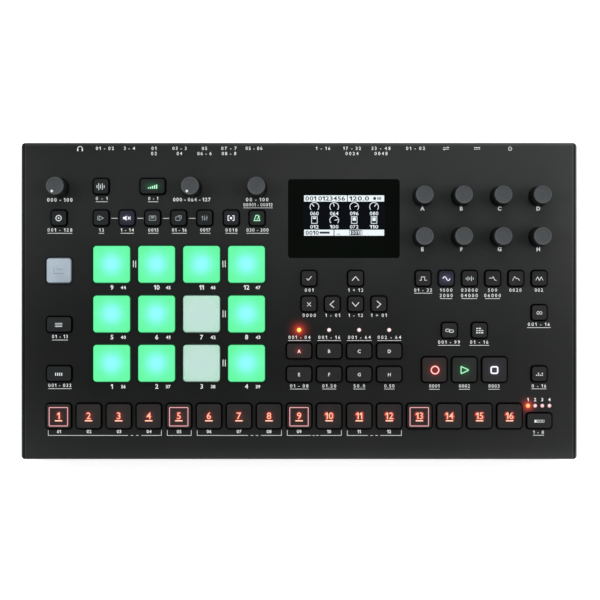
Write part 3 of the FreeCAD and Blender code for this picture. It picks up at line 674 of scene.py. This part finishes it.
def knob_material(name, gx, gy):
    """Soft matte plastic: near-black sides, painted darker towards the foot as painted shade, and a greyer dished top
    whose paler rim is a painted highlight.
    """
    m = Mat(name)
    u, v = at(gx, gy)
    foot = mm(u, v, 0.0)
    d = m.vmath("SUBTRACT", m.pos(), tuple(foot))
    up = m.math("MULTIPLY", m.vmath("DOT_PRODUCT", d, tuple(W)), 1000.0)
    side = m.vmath("SUBTRACT", d, m.vmath("SCALE", tuple(W), scale=m.vmath("DOT_PRODUCT", d, tuple(W))))
    r = m.math("MULTIPLY", m.vmath("LENGTH", side), 1000.0)
    top = m.math("MULTIPLY", m.math("SUBTRACT", up, 16.15), 4.0, clamp=True)
    inner = m.math("LESS_THAN", r, 6.02)
    top = m.math("MULTIPLY", top, inner)
    # painted highlight: a paler band near the edge of the knob's top, darker at the very edge
    painted_light_rim = m.ramp(m.math("MULTIPLY", r, 1.0 / 6.2, clamp=True),
                 [(0.0, (0.058, 0.064, 0.068)), (0.78, (0.061, 0.067, 0.071)), (0.90, (0.075, 0.081, 0.086)),
                  (1.0, (0.048, 0.052, 0.056))])
    speck = m.ramp(m.noise(1050.0, 2.0, 0.6), [(0.3, (0.88, 0.88, 0.88)), (0.7, (1.12, 1.12, 1.12))])
    painted_light_rim = m.vmath("MULTIPLY", painted_light_rim, speck)
    tone = m.ramp(m.noise(380.0, 3.0, 0.6), [(0.3, (0.0125, 0.0135, 0.0140)), (0.7, (0.0175, 0.0188, 0.0195))])
    # painted shade: the sides darker towards the foot
    painted_shade_rise = m.math("MULTIPLY", up, 1.0 / 16.5, clamp=True)
    tone = m.vmath("SCALE", tone, scale=m.math("MULTIPLY_ADD", m.math("MULTIPLY", painted_shade_rise, painted_shade_rise), 0.95, 0.25))
    m.link(m.mix(top, tone, painted_light_rim), "Base Color")
    m.link(m.ramp(m.noise(260.0, 3.0, 0.6), [(0.3, (0.52,) * 3), (0.7, (0.62,) * 3)]), "Roughness")
    m.link(m.bump(m.noise(3000.0, 2.0, 0.6), 0.3, 0.00003), "Normal")
    m.link(m.math("MULTIPLY_ADD", top, 0.22, 0.08), "Specular IOR Level")
    return m.mat


for n, (gx, gy) in knobs.items():
    assign(n, knob_material("cap_" + n, gx, gy))

# ------------------------------------------------------------------
# inks and lamps
# ------------------------------------------------------------------
white_ink = ink("ink_white", (0.95, 0.96, 0.96))
grey_ink = ink("ink_grey", (0.76, 0.78, 0.78))
key_ink = ink("ink_key", (0.80, 0.85, 0.88))
dim_ink = ink("ink_dim", (0.46, 0.53, 0.55))
faint_ink = ink("ink_faint", lin(118, 130, 142))
red_lamp = lamp("lamp_red", (1.0, 0.455, 0.30), 1.30)
bar_lamp = lamp("lamp_red_bar", (1.0, 0.74, 0.52), 1.46)
red_edge = lamp("lamp_red_edge", (0.60, 0.035, 0.015), 1.0)
pink_lamp = lamp("lamp_pink", (1.0, 0.47, 0.49), 1.15)
pink_edge = lamp("lamp_pink_edge", (0.10, 0.003, 0.006), 1.0)
green_lamp = lamp("lamp_green", (0.50, 1.0, 0.66), 1.05)
green_edge = lamp("lamp_green_edge", (0.012, 0.34, 0.09), 1.0)
white_lamp = lamp("lamp_white", (0.97, 0.98, 1.0), 1.1)
record_lamp = lamp("lamp_record", (1.0, 0.66, 0.62), 1.25)
record_edge = lamp("lamp_record_edge", (0.85, 0.05, 0.04), 1.0)
screen_lamp = lamp("lamp_screen", (0.88, 0.97, 1.0), 1.0)
screen_dark = lamp("lamp_screen_dark", (0.06, 0.08, 0.12), 0.25)
screen_back = lamp("lamp_screen_back", (0.10, 0.18, 0.36), 0.008, (0.0012, 0.0016, 0.0024))
for m in (screen_back, screen_dark, screen_lamp):
    next(x for x in m.node_tree.nodes if x.type == "BSDF_PRINCIPLED").inputs["Specular IOR Level"].default_value = 0.05

P = Marks("legend_panel", "case", white_ink, "case_paint", 0.0)
L = Marks("legend_lines", "case", grey_ink, "case_paint", 0.0)

# knob scales and letters
P.text("000 - 100", 59.9, 199.9, 2.35, 0.026, span=17.6)
P.text("000 - 064 - 127", 191.9, 199.6, 2.35, 0.026, span=26.0)
P.text("00 - 100", 257.2, 199.6, 2.35, 0.026, span=15.6)
P.text("00001 - 00012", 258.0, 204.8, 2.15, 0.008, span=20.2)
L.under(243.2, 272.8, 207.9, 0.36)
for letter, gx, gy in (("A", 422.4, 208.6), ("B", 461.3, 208.6), ("C", 499.5, 208.6), ("D", 538.2, 208.6),
                       ("E", 422.4, 249.2), ("F", 461.3, 249.2), ("G", 499.5, 249.2), ("H", 538.2, 249.2)):
    P.text(letter, gx, gy, 2.5, 0.05)


def label(s, x0, x1, y, line=None, h=2.2, bold=0.008):
    P.text(s, (x0 + x1) / 2.0, y, h, bold, span=(x1 - x0) * GRID - 0.2)
    if line is not None:
        L.under(x0, x1, line)


# labels of the mode keys
label("0 - 1", 95.8, 107.7, 198.5, 201.8)
label("0 - 1", 148.1, 158.3, 198.5, 201.8)
for s, x0, x1 in (("001 - 128", 47.5, 72.5), ("13", 98.8, 104.1), ("1 - 14", 120.7, 134.0), ("0015", 148.1, 158.7),
                  ("01 - 16", 171.9, 186.8), ("0017", 200.1, 210.6), ("0018", 225.4, 237.5), ("030 - 300", 246.4, 268.7)):
    label(s, x0, x1, 230.0, 233.3)
label("01 - 13", 52.0, 68.0, 336.5, 340.0)
label("001 - 032", 48.3, 71.6, 385.3, 388.6)
for a, b in ((111.6, 117.7), (137.4, 143.5), (163.0, 169.3), (189.2, 195.5)):
    L.under(a, b, 218.4, 0.45)

# labels of the navigation keys
for s, x0, x1, y in (("001", 304.1, 314.1, 290.1), ("1 + 12", 348.0, 363.3, 290.1), ("0000", 302.1, 316.4, 315.3),
                     ("1 - 01", 324.9, 340.5, 315.3), ("1 - 12", 348.3, 363.0, 315.3), ("1 + 01", 370.7, 386.9, 315.3)):
    label(s, x0, x1, y)

# labels of the bank keys and their lenses
for s, x0, x1 in (("001 - 04", 288.3, 310.5), ("001 - 16", 317.5, 340.9), ("001 - 64", 347.0, 371.7),
                  ("002 - 64", 377.4, 401.2)):
    label(s, x0, x1, 337.3, 340.5)
for s, x0, x1 in (("01 - 08", 290.0, 308.5), ("01.50", 322.2, 336.2), ("50.0", 353.3, 365.3), ("0.50", 384.2, 394.5)):
    label(s, x0, x1, 385.9, 389.0)

# labels of the page keys
label("01 - 32", 414.0, 432.1, 290.1, 293.2)
for s, t, x0, x1, l0, l1 in (("1000", "2000", 439.1, 453.1, 440.0, 452.2), ("03000", "04000", 460.6, 478.0, 461.5, 477.0),
                             ("500", "06000", 484.1, 500.8, 485.0, 499.9)):
    P.text(s, (x0 + x1) / 2, 290.1, 2.2, 0.008, span=(x1 - x0) * GRID)
    P.text(t, (x0 + x1) / 2, 295.5, 2.2, 0.008, span=(x1 - x0) * GRID)
    L.under(l0, l1, 298.6)
label("0020", 509.1, 521.6, 290.1)
label("002", 534.5, 543.0, 290.1)
label("001 - 16", 526.9, 550.6, 324.3, 327.6)
label("001 - 99", 437.9, 460.0, 342.1, 345.3)
label("01 - 16", 469.3, 489.0, 342.1, 345.3)
label("0001", 429.0, 439.5, 385.9, 389.2)
label("0002", 458.9, 469.9, 385.9, 389.2)
label("0003", 488.3, 499.5, 385.9, 389.2)
label("0 - 16", 531.5, 546.2, 385.9, 388.8)
label("1 - 8", 532.9, 543.9, 432.1, 435.2)
for k in range(4):
    P.text(str(k + 1), 527.9 + 7.13 * k, 399.6, 2.15, 0.03)

# numerals under the pads, with a second small number
for i, (gx, gy) in enumerate(pads):
    y = {363.2: 386.4, 314.0: 337.1, 264.4: 287.4}[gy]
    P.text(str(i + 1), gx, y, 3.0, 0.022)
    P.text(str(36 + i), gx + 11.4, y + 0.2, 2.1, 0.034)
for gx, gy in ((134.6, 264.0), (224.1, 264.0), (224.2, 313.9), (224.2, 363.0)):
    u, v = at(gx, gy)
    for s in (-1, 1):
        P.bar(u + s * 0.80, v, 0.55, 4.6)

# brackets and numbers under the step keys
for x0, x1, gap in ((48.1, 161.7, (128.1, 141.3)), (167.1, 191.6, None), (197.0, 281.7, (248.2, 260.8)),
                    (287.0, 341.6, (310.8, 320.2)), (347.0, 401.6, (368.0, 380.4))):
    if gap is None:
        L.under(x0, x1, 435.4, 0.36)
    else:
        L.under(x0, gap[0], 435.4, 0.36)
        L.under(gap[1], x1, 435.4, 0.36)
        span = gap[1] - gap[0]
        for k in (0.30, 0.70):
            m = gap[0] + span * k
            L.under(m - 1.3, m + 1.3, 435.4, 0.36)
    for x in (x0 + 0.26, x1 - 0.26):
        L.rect(x - 0.26, 430.2, x + 0.26, 435.4)
for i in range(12):
    P.text(str(i + 1).zfill(2), 59.1 + 30.0 * i, 431.5, 2.1, 0.026)

# the row of socket marks along the rear edge
u, v = at(80.1, 148.6)
P.ring(u, v - 0.25, 1.72, 0.42, 8.0, 172.0, 18)
for s in (-1, 1):
    P.bar(u + s * 1.58, v - 0.95, 0.85, 1.75)
for s, gx, w in (("01 - 02", 105.0, 12.4), ("3 - 4", 129.5, 7.6), ("01 - 02", 415.5, 13.6), ("05 - 06", 254.0, 11.6),
                 ("1 - 16", 323.0, 10.0)):
    P.text(s, gx, 148.4, 2.15, 0.012, span=w)
for a, b, gx, w, x in (("01", "02", 154.0, 4.0, 4.0), ("03 - 3", "04", 179.5, 9.8, 3.8), ("05", "06 - 6", 204.5, 3.6, 9.8),
                       ("07 - 7", "08 - 8", 229.0, 10.6, 10.0), ("17 - 32", "0024", 352.0, 12.2, 9.6),
                       ("33 - 48", "0048", 381.0, 13.4, 9.6)):
    P.text(a, gx, 148.4, 2.15, 0.012, span=w)
    P.text(b, gx, 153.6, 2.15, 0.012, span=x)
# data: two arrows; supply: a solid line over a broken one; power: a ring with a bar
u, v = at(446.0, 148.4)
for s in (-1, 1):
    P.stroke([(u - 1.9 * s, v + 0.55 * s), (u + 1.9 * s, v + 0.55 * s), (u + 1.0 * s, v + 1.2 * s)], 0.34)
u, v = at(477.0, 148.4)
P.bar(u, v + 0.55, 4.2, 0.4)
for k in (-1.6, 0.0, 1.6):
    P.bar(u + k, v - 0.55, 1.0, 0.4)
u, v = at(510.0, 148.6)
P.ring(u, v - 0.1, 1.15, 0.36, 125.0, 415.0, 26)
P.bar(u, v + 0.85, 0.36, 1.5)

# painted shade: near-black rings laid on the panel round the key holes, where their rolled edges stay in the dark
hole_shade_mat = moulded("hole_edge_painted_shade", (0.0022, 0.0023, 0.0023), 0.6, spec=0.03)
H = Marks("hole_edge_shade_rings", "case", hole_shade_mat, "case_paint", 0.0, 0.008)
large = trig + [(434.1, 369.5), (464.1, 369.5), (494.1, 369.5), (59.35, 270.6)]
small = [(101.4, 186.5)] + [(x, 218.1) for x in (59.4, 101.4, 127.3, 152.9, 178.9, 204.9, 231.4, 257.1)]
small += [(308.95, 278.4), (308.95, 304.0), (355.5, 278.4), (332.2, 304.0), (355.5, 304.0), (378.75, 304.0)]
small += [(422.9 + 23.18 * j, 278.4) for j in range(6)]
small += [(538.8, 312.6), (449.1, 330.3), (479.1, 330.3), (538.8, 373.8)]
wide = [(152.9, 186.5), (59.5, 324.4), (59.5, 373.5), (538.8, 420.6)]
wide += [(299.1 + 30.0 * j, y) for j in range(4) for y in (350.8, 374.1)]
for places, w, h, r in ((large, 18.2, 18.2, 2.8), (small, 11.5, 11.5, 2.4), (wide, 18.2, 11.5, 2.4)):
    for gx, gy in places:
        u, v = at(gx, gy)
        H.frame(u, v, w + 0.36, h + 0.36, r + 0.18, 0.36, 8)

# ------------------------------------------------------------------
# marks on the keys
# ------------------------------------------------------------------
for i, (gx, gy) in enumerate(trig):
    body = "trig_key_%d" % (i + 1)
    m = Marks("lit_edge_%d" % (i + 1), body, red_edge, "key_black", KEY_TOP, 0.012)
    m.text(str(i + 1), gx, gy - 0.35, 4.75, 0.052)
    u, v = at(gx, 420.5)
    m.bar(u, v, 5.5, 1.05)
    m = Marks("lit_number_%d" % (i + 1), body, red_lamp, "key_black", KEY_TOP + 0.012, 0.014)
    m.text(str(i + 1), gx, gy - 0.35, 4.35, 0.002)
    m = Marks("lit_bar_%d" % (i + 1), body, bar_lamp, "key_black", KEY_TOP + 0.012, 0.014)
    m.bar(u, v, 5.0, 0.52)
    if i % 4 == 0:
        u, v = at(gx - 0.1, 416.45)
        f = Marks("lit_square_edge_%d" % (i + 1), body, pink_edge, "key_black", KEY_TOP, 0.010)
        f.frame(u, v, 12.45, 12.45, 0.5, 1.3)
        f = Marks("lit_square_%d" % (i + 1), body, pink_lamp, "key_black", KEY_TOP + 0.010, 0.012)
        f.frame(u, v, 12.75, 12.75, 0.4, 0.42)

m = Marks("lit_record_edge", "record_key", record_edge, "key_black", KEY_TOP, 0.012)
u, v = at(434.7, 369.9)
m.ring(u, v, 2.6, 1.25)
m = Marks("lit_record", "record_key", record_lamp, "key_black", KEY_TOP + 0.012, 0.014)
m.ring(u, v, 2.6, 0.6)
u, v = at(463.9, 369.9)
tri = [(u - 1.9, v - 2.35), (u + 2.55, v - 0.32), (u + 2.75, v), (u + 2.55, v + 0.32), (u - 1.9, v + 2.35), (u - 2.25, v + 2.15),
       (u - 2.25, v - 2.15)]
m = Marks("lit_play_edge", "play_key", green_edge, "key_black", KEY_TOP, 0.012)
m.stroke(tri, 1.15, closed=True)
m = Marks("lit_play", "play_key", green_lamp, "key_black", KEY_TOP + 0.012, 0.014)
m.stroke(tri, 0.55, closed=True)
m = Marks("lit_stop", "stop_key", white_lamp, "key_black", KEY_TOP)
u, v = at(493.9, 369.9)
m.frame(u, v, 4.5, 4.5, 1.0, 1.0)

m = Marks("mark_function", "function_key", faint_ink, "key_grey", KEY_TOP, 0.02)
u, v = at(59.35, 271.0)
m.stroke([(u - 3.4, v + 2.2), (u - 3.4, v - 1.8), (u + 3.4, v - 1.8)], 0.32)
m.bar(u + 0.4, v + 1.2, 4.4, 0.3)

K = Marks("mark_mode_keys", "mode_keys", key_ink, "key_black", KEY_TOP)
KD = Marks("mark_mode_keys_dim", "mode_keys", dim_ink, "key_black", KEY_TOP)
KW = Marks("lit_mode_keys_white", "mode_keys", white_lamp, "key_black", KEY_TOP)
KG = Marks("lit_mode_keys_green", "mode_keys", green_lamp, "key_black", KEY_TOP)
u, v = at(101.2, 186.9)                      # sound wave bars
for k, h in ((-2.6, 2.1), (-1.35, 4.7), (-0.1, 2.6), (1.15, 4.3), (2.4, 2.0)):
    K.bar(u + k, v, 0.5, h)
u, v = at(152.9, 186.7)                      # lit level steps
for k in range(5):
    KG.bar(u - 2.8 + 1.4 * k, v - 1.15 + 0.25 * k, 0.85, 0.9 + 0.5 * k)
u, v = at(59.2, 218.3)                       # ring and dot
K.ring(u, v, 1.85, 0.62)
K.disc(u, v, 0.62)
u, v = at(101.4, 218.3)                      # triangle
KD.stroke([(u - 1.2, v - 1.5), (u + 1.7, v), (u - 1.2, v + 1.5)], 0.34, closed=True)
KD.bar(u - 2.2, v, 0.34, 3.0)
u, v = at(127.1, 218.3)                      # speaker with a stroke, lit
KW.add([(u - 2.5, v - 0.75), (u - 1.4, v - 0.75), (u - 0.1, v - 1.75), (u - 0.1, v + 1.75), (u - 1.4, v + 0.75), (u - 2.5, v + 0.75)],
       [(0, 1, 2, 3, 4, 5)])
KW.stroke([(u + 0.75, v - 1.0), (u + 2.75, v + 1.0)], 0.5)
KW.stroke([(u + 0.75, v + 1.0), (u + 2.75, v - 1.0)], 0.5)
u, v = at(152.9, 218.3)                      # keyboard
KD.frame(u, v, 4.6, 3.0, 0.3, 0.3)
for k in (-0.9, 0.0, 0.9):
    KD.bar(u + k, v + 0.5, 0.42, 1.6)
u, v = at(178.9, 218.3)                      # stacked sheets
KD.frame(u - 0.5, v - 0.4, 3.0, 2.4, 0.3, 0.32)
KD.stroke([(u - 0.6, v + 1.6), (u + 1.9, v + 1.6), (u + 1.9, v - 0.6)], 0.32)
u, v = at(204.9, 218.3)                      # sliders
for k, h in ((-1.5, 0.8), (0.0, -0.6), (1.5, 0.3)):
    KD.bar(u + k, v, 0.3, 3.4)
    KD.bar(u + k, v + h, 1.0, 0.6)
u, v = at(231.2, 218.3)                      # lit bracket and dot
KW.stroke([(u - 0.9, v + 1.6), (u - 2.1, v + 1.6), (u - 2.1, v - 1.6), (u - 0.9, v - 1.6)], 0.46)
KW.stroke([(u + 0.9, v + 1.6), (u + 2.1, v + 1.6), (u + 2.1, v - 1.6), (u + 0.9, v - 1.6)], 0.46)
KW.disc(u, v, 0.8)
u, v = at(257.1, 218.3)                      # beat counter, lit green
KG.stroke([(u - 2.0, v - 1.75), (u + 2.0, v - 1.75), (u + 0.75, v + 1.9), (u - 0.75, v + 1.9)], 0.5, closed=True)
KG.stroke([(u - 0.1, v - 1.0), (u + 1.9, v + 1.55)], 0.42)
u, v = at(59.3, 324.9)                       # track: three lines
for k in (-1.1, 0.0, 1.1):
    K.bar(u, v + k, 5.0, 0.42)
u, v = at(59.3, 374.1)                       # repeat: four beats
for k in (-2.1, -0.7, 0.7, 2.1):
    K.bar(u + k, v, 0.7, 2.1)

N = Marks("mark_navigation_keys", "navigation_keys", key_ink, "key_black", KEY_TOP)
u, v = at(308.95, 278.6)                     # tick
N.stroke([(u - 1.7, v + 0.1), (u - 0.5, v - 1.2), (u + 1.8, v + 1.5)], 0.46)
u, v = at(308.95, 304.3)                     # cross
N.stroke([(u - 1.3, v - 1.3), (u + 1.3, v + 1.3)], 0.46)
N.stroke([(u - 1.3, v + 1.3), (u + 1.3, v - 1.3)], 0.46)
for gx, gy, a in ((355.4, 278.7, 90), (332.0, 304.3, 180), (355.4, 304.3, 270), (378.6, 304.3, 0)):
    u, v = at(gx, gy)
    ca, sa = math.cos(math.radians(a)), math.sin(math.radians(a))
    pts = [(-1.35, 2.4), (1.35, 0.0), (-1.35, -2.4)]
    N.stroke([(u + x * ca - y * sa, v + x * sa + y * ca) for x, y in pts], 0.55)

B = Marks("mark_bank_keys", "bank_keys", key_ink, "key_black", KEY_TOP)
BR = Marks("lit_bank_keys", "bank_keys", lamp("lamp_bank", (1.0, 0.55, 0.50), 1.6), "key_black", KEY_TOP)
for j, letter in enumerate("ABCDEFGH"):
    (BR if j == 0 else B).text(letter, 299.1 + 30.0 * (j % 4), (351.2, 374.4)[j // 4], 2.2, 0.02)

G = Marks("mark_page_keys", "page_keys", key_ink, "key_black", KEY_TOP)
GW = Marks("lit_page_keys", "page_keys", white_lamp, "key_black", KEY_TOP)
page_x = [422.9 + 23.18 * j for j in range(6)]
u, v = at(page_x[0], 278.7)                  # pulse
G.stroke([(u - 2.6, v - 1.1), (u - 1.3, v - 1.1), (u - 1.3, v + 1.2), (u + 1.0, v + 1.2), (u + 1.0, v - 1.1), (u + 2.6, v - 1.1)], 0.4)
u, v = at(page_x[1], 278.7)                  # sine, lit
GW.stroke([(u - 2.5 + 5.0 * k / 20.0, v + 1.35 * math.sin(2 * math.pi * k / 20.0)) for k in range(21)], 0.5)
u, v = at(page_x[2], 278.7)                  # recorded wave
for k, h in enumerate((1.2, 2.9, 1.7, 3.3, 1.3)):
    G.bar(u - 2.4 + 1.2 * k, v, 0.42, h)
u, v = at(page_x[3], 278.7)                  # filter curve
G.stroke([(u - 2.6, v + 0.4), (u - 0.7, v + 0.4), (u + 0.2, v + 1.3), (u + 1.2, v - 0.9), (u + 2.4, v - 1.3)], 0.4)
u, v = at(page_x[4], 278.7)                  # envelope
G.stroke([(u - 2.5, v - 1.3), (u - 1.0, v + 1.4), (u + 0.1, v + 0.1), (u + 1.3, v + 0.1), (u + 2.4, v - 1.3)], 0.4)
u, v = at(page_x[5], 278.7)                  # triangle wave
G.stroke([(u - 2.5, v - 1.2), (u - 1.25, v + 1.2), (u, v - 1.2), (u + 1.25, v + 1.2), (u + 2.5, v - 1.2)], 0.4)
u, v = at(538.8, 312.9)                      # two crossing waves
for s in (-1, 1):
    G.stroke([(u - 1.9 + 3.8 * k / 14.0, v + s * 1.05 * math.sin(2 * math.pi * k / 14.0)) for k in range(15)], 0.34)
u, v = at(449.1, 330.5)                      # two links
G.frame(u - 1.15, v + 0.15, 3.0, 1.7, 0.8, 0.42)
G.frame(u + 1.25, v - 0.35, 3.0, 1.7, 0.8, 0.42)
u, v = at(479.1, 330.5)                      # blocks in rows
for x, y, w, h in ((-1.7, 1.5, 1.2, 0.75), (0.2, 1.5, 1.6, 0.75), (-1.7, 0.0, 1.2, 0.75), (0.1, 0.0, 1.4, 0.75), (1.9, 0.0, 1.2, 0.75),
                   (-1.7, -1.5, 1.2, 0.9), (0.0, -1.5, 1.2, 0.9), (1.8, -1.5, 1.4, 0.9)):
    G.bar(u + x, v + y, w, h)
u, v = at(538.8, 374.1)                      # filled steps
for x in range(4):
    for y in range(2):
        if (x + y) % 2 == 0 or y == 0:
            G.bar(u - 1.95 + 1.3 * x, v - 0.65 + 1.3 * y, 0.8, 0.8)
u, v = at(538.8, 420.9)                      # four pages, the first one full
G.bar(u - 2.7, v, 1.5, 1.9)
for k in (-0.9, 0.9, 2.7):
    G.frame(u + k, v, 1.2, 1.6, 0.1, 0.28)

# pointer dots of the two potentiometers
for n in ("knob_main_volume", "knob_performance"):
    gx, gy = knobs[n]
    u, v = at(gx, gy)
    a = math.radians(240.0)
    d = Marks("pointer_" + n, n, ink("ink_pointer_" + n, lin(236, 238, 238), 0.4), "knob_plastic", 16.45, 0.40)
    d.disc(u + 4.1 * math.cos(a), v + 4.1 * math.sin(a), 0.88)

# ------------------------------------------------------------------
# display: bars, dials, sliders and plain numbers
# ------------------------------------------------------------------
SB = Marks("screen_ground", "case", screen_back, "window_gloss", 0.0, 0.010)
SB.rect(303.2, 194.4, 385.0, 236.6)
SW = Marks("screen_lit", "case", screen_lamp, "window_gloss", 0.012, 0.014)
SD = Marks("screen_figures", "case", screen_dark, "window_gloss", 0.028, 0.012)
SW.rect(304.1, 195.4, 347.0, 201.6)
SW.rect(347.8, 195.4, 384.1, 201.6)
SW.rect(304.1, 229.7, 333.6, 235.7)
SW.rect(334.4, 229.7, 384.1, 235.7)
SD.text("001 0123456", 325.2, 198.5, 2.75, 0.02, width=27.4)
SD.text("120.0", 359.2, 198.5, 2.75, 0.02, width=13.6)
u, v = at(374.6, 198.5)
SD.disc(u, v, 1.05)
for k in (0, 1, 2):
    SD.bar(u + 2.2 + 0.95 * k, v, 0.6, 1.9)
SD.text("0010", 312.2, 232.75, 2.7, 0.02, width=9.0)
SD.rect(319.6, 231.7, 329.6, 233.7)
SD.bar(*at(338.4, 234.2), 2.4, 0.35)
u, v = at(355.5, 232.7)
SD.frame(u - 3.6, v, 1.2, 3.2, 0.1, 0.35)
SD.bar(u - 0.1, v, 5.8, 3.5)
SF = Marks("screen_inverted", "case", screen_lamp, "window_gloss", 0.042, 0.010)
SF.text("001", 355.3, 232.7, 2.3, 0.0, width=4.8)
SD.frame(u + 3.9, v, 1.2, 3.2, 0.1, 0.35)
dials = [(314.4, 206.9, 130), (334.2, 206.9, 100), (354.2, 206.9, 20), (374.0, 206.9, 50), (334.2, 220.3, 10)]
for gx, gy, a in dials:
    u, v = at(gx, gy)
    SW.ring(u, v, 3.05, 0.45, -40.0, 220.0, 22)
    SW.stroke([(u + 0.3 * math.cos(math.radians(a)), v + 0.3 * math.sin(math.radians(a))),
               (u + 2.5 * math.cos(math.radians(a)), v + 2.5 * math.sin(math.radians(a)))], 0.5)
for gx, level in ((314.4, 0.28), (354.2, 0.62), (374.0, 0.66)):
    u, v = at(gx, 220.0)
    SW.frame(u, v, 3.9, 4.7, 0.2, 0.42)
    h = 3.7 * level
    SW.bar(u, v + 1.75 - h / 2.0, 2.3, h)
for gx, s in ((314.4, "060"), (334.2, "064"), (354.2, "096"), (374.0, "080")):
    SW.text(s, gx, 213.5, 2.4, 0.012, width=5.8)
for gx, s in ((314.4, "012"), (334.2, "100"), (354.2, "072"), (374.0, "110")):
    SW.text(s, gx, 226.8, 2.3, 0.012, width=5.8)

for m in list(Marks.every.values()):
    m.build()

# ------------------------------------------------------------------
# what shows inside the rear sockets
# ------------------------------------------------------------------
Y_REAR = 107.55


def solid(name, verts, faces, mat):
    me = bpy.data.meshes.new(name)
    me.from_pydata([tuple(Vector(v) * 0.001) for v in verts], [], faces)
    me.validate()
    me.materials.append(mat)
    ob = bpy.data.objects.new(name, me)
    bpy.context.scene.collection.objects.link(ob)
    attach(ob, "case")
    return ob


def pin_y(verts, faces, x, z, r, y0, y1, n=14, dome=0.0):
    """A round pin along Y with a domed tip, appended to a mesh."""
    rings = [(r, y0), (r, y1 - dome), (r * 0.72, y1 - dome * 0.35), (r * 0.3, y1)]
    base = len(verts)
    for rr, y in rings:
        for i in range(n):
            t = 2 * math.pi * i / n
            verts.append((x + rr * math.cos(t), y, z + rr * math.sin(t)))
    faces.append(tuple(base + i for i in range(n)))
    for k in range(len(rings) - 1):
        for i in range(n):
            j = (i + 1) % n
            faces.append((base + k * n + i, base + (k + 1) * n + i, base + (k + 1) * n + j, base + k * n + j))
    faces.append(tuple(base + (len(rings) - 1) * n + i for i in reversed(range(n))))


gold = steel("contact_gold", (0.78, 0.58, 0.28), 0.3)
verts, faces = [], []
for gx in (323.0, 352.0, 381.0):
    x, z = (gx - GX) * GRID, 31.0
    for a in (0, 45, 90, 135, 180):
        t = math.radians(a)
        pin_y(verts, faces, x + 4.0 * math.cos(t), z + 4.0 * math.sin(t), 0.95, 97.4, 97.95, 12, 0.2)
solid("round_socket_contacts", verts, faces, gold)
verts, faces = [], []
pin_y(verts, faces, (477.0 - GX) * GRID, 27.0, 1.0, 96.75, 105.2, 20, 0.8)
solid("power_inlet_pin", verts, faces, steel("contact_steel", (0.62, 0.62, 0.63), 0.25))

# ------------------------------------------------------------------
# floor, light and camera
# ------------------------------------------------------------------
me = bpy.data.meshes.new("floor")
s = 4.0
me.from_pydata([(-s, -s, -0.0001), (s, -s, -0.0001), (s, s, -0.0001), (-s, s, -0.0001)], [], [(0, 1, 2, 3)])
floor = bpy.data.objects.new("floor", me)
bpy.context.scene.collection.objects.link(floor)
fm = Mat("floor_pale")
fm.link(fm.ramp(fm.noise(2.0, 2.0, 0.5), [(0.2, (0.78, 0.78, 0.78)), (0.8, (0.81, 0.81, 0.81))]), "Base Color")
fm.set(Roughness=0.7, Specular_IOR_Level=0.2, Emission_Strength=0.62)
fm.bsdf.inputs["Emission Color"].default_value = (1.0, 1.0, 1.0, 1.0)
me.materials.append(fm.mat)

world = bpy.data.worlds.new("studio")
world.use_nodes = True
world.node_tree.nodes["Background"].inputs["Color"].default_value = (1.0, 1.0, 1.0, 1.0)
world.node_tree.nodes["Background"].inputs["Strength"].default_value = 0.05
bpy.context.scene.world = world
bpy.context.scene.view_settings.view_transform = "Standard"


def area(name, place, target, size, size_y, power, colour=(1.0, 1.0, 1.0)):
    li = bpy.data.lights.new(name, "AREA")
    li.shape = "RECTANGLE"
    li.size, li.size_y, li.energy, li.color = size, size_y, power, colour
    ob = bpy.data.objects.new(name, li)
    bpy.context.scene.collection.objects.link(ob)
    ob.location = place
    ob.rotation_mode = "QUATERNION"
    ob.rotation_quaternion = (Vector(target) - Vector(place)).to_track_quat("-Z", "Y")
    return ob


area("soft_rear", (0.0, 1.25, 1.15), (0, 0, 0), 2.2, 1.1, 18.5)
area("soft_left", (-1.35, 0.1, 1.05), (0, 0, 0), 1.1, 1.8, 13.0)
area("soft_right", (1.35, 0.0, 1.05), (0, 0, 0), 1.1, 1.8, 16.0)
area("soft_front", (0.0, -1.35, 1.0), (0, 0, 0), 2.2, 0.9, 8.0)

cam = bpy.data.cameras.new("camera")
cam.lens = 75.2
cam.sensor_width = 36.0
cam.clip_start, cam.clip_end = 0.01, 20.0
camera = bpy.data.objects.new("camera", cam)
bpy.context.scene.collection.objects.link(camera)
camera.location = mm(0.62, 0.48, 867.0)
camera.rotation_euler = (TILT, 0.0, 0.0)
bpy.context.scene.camera = camera
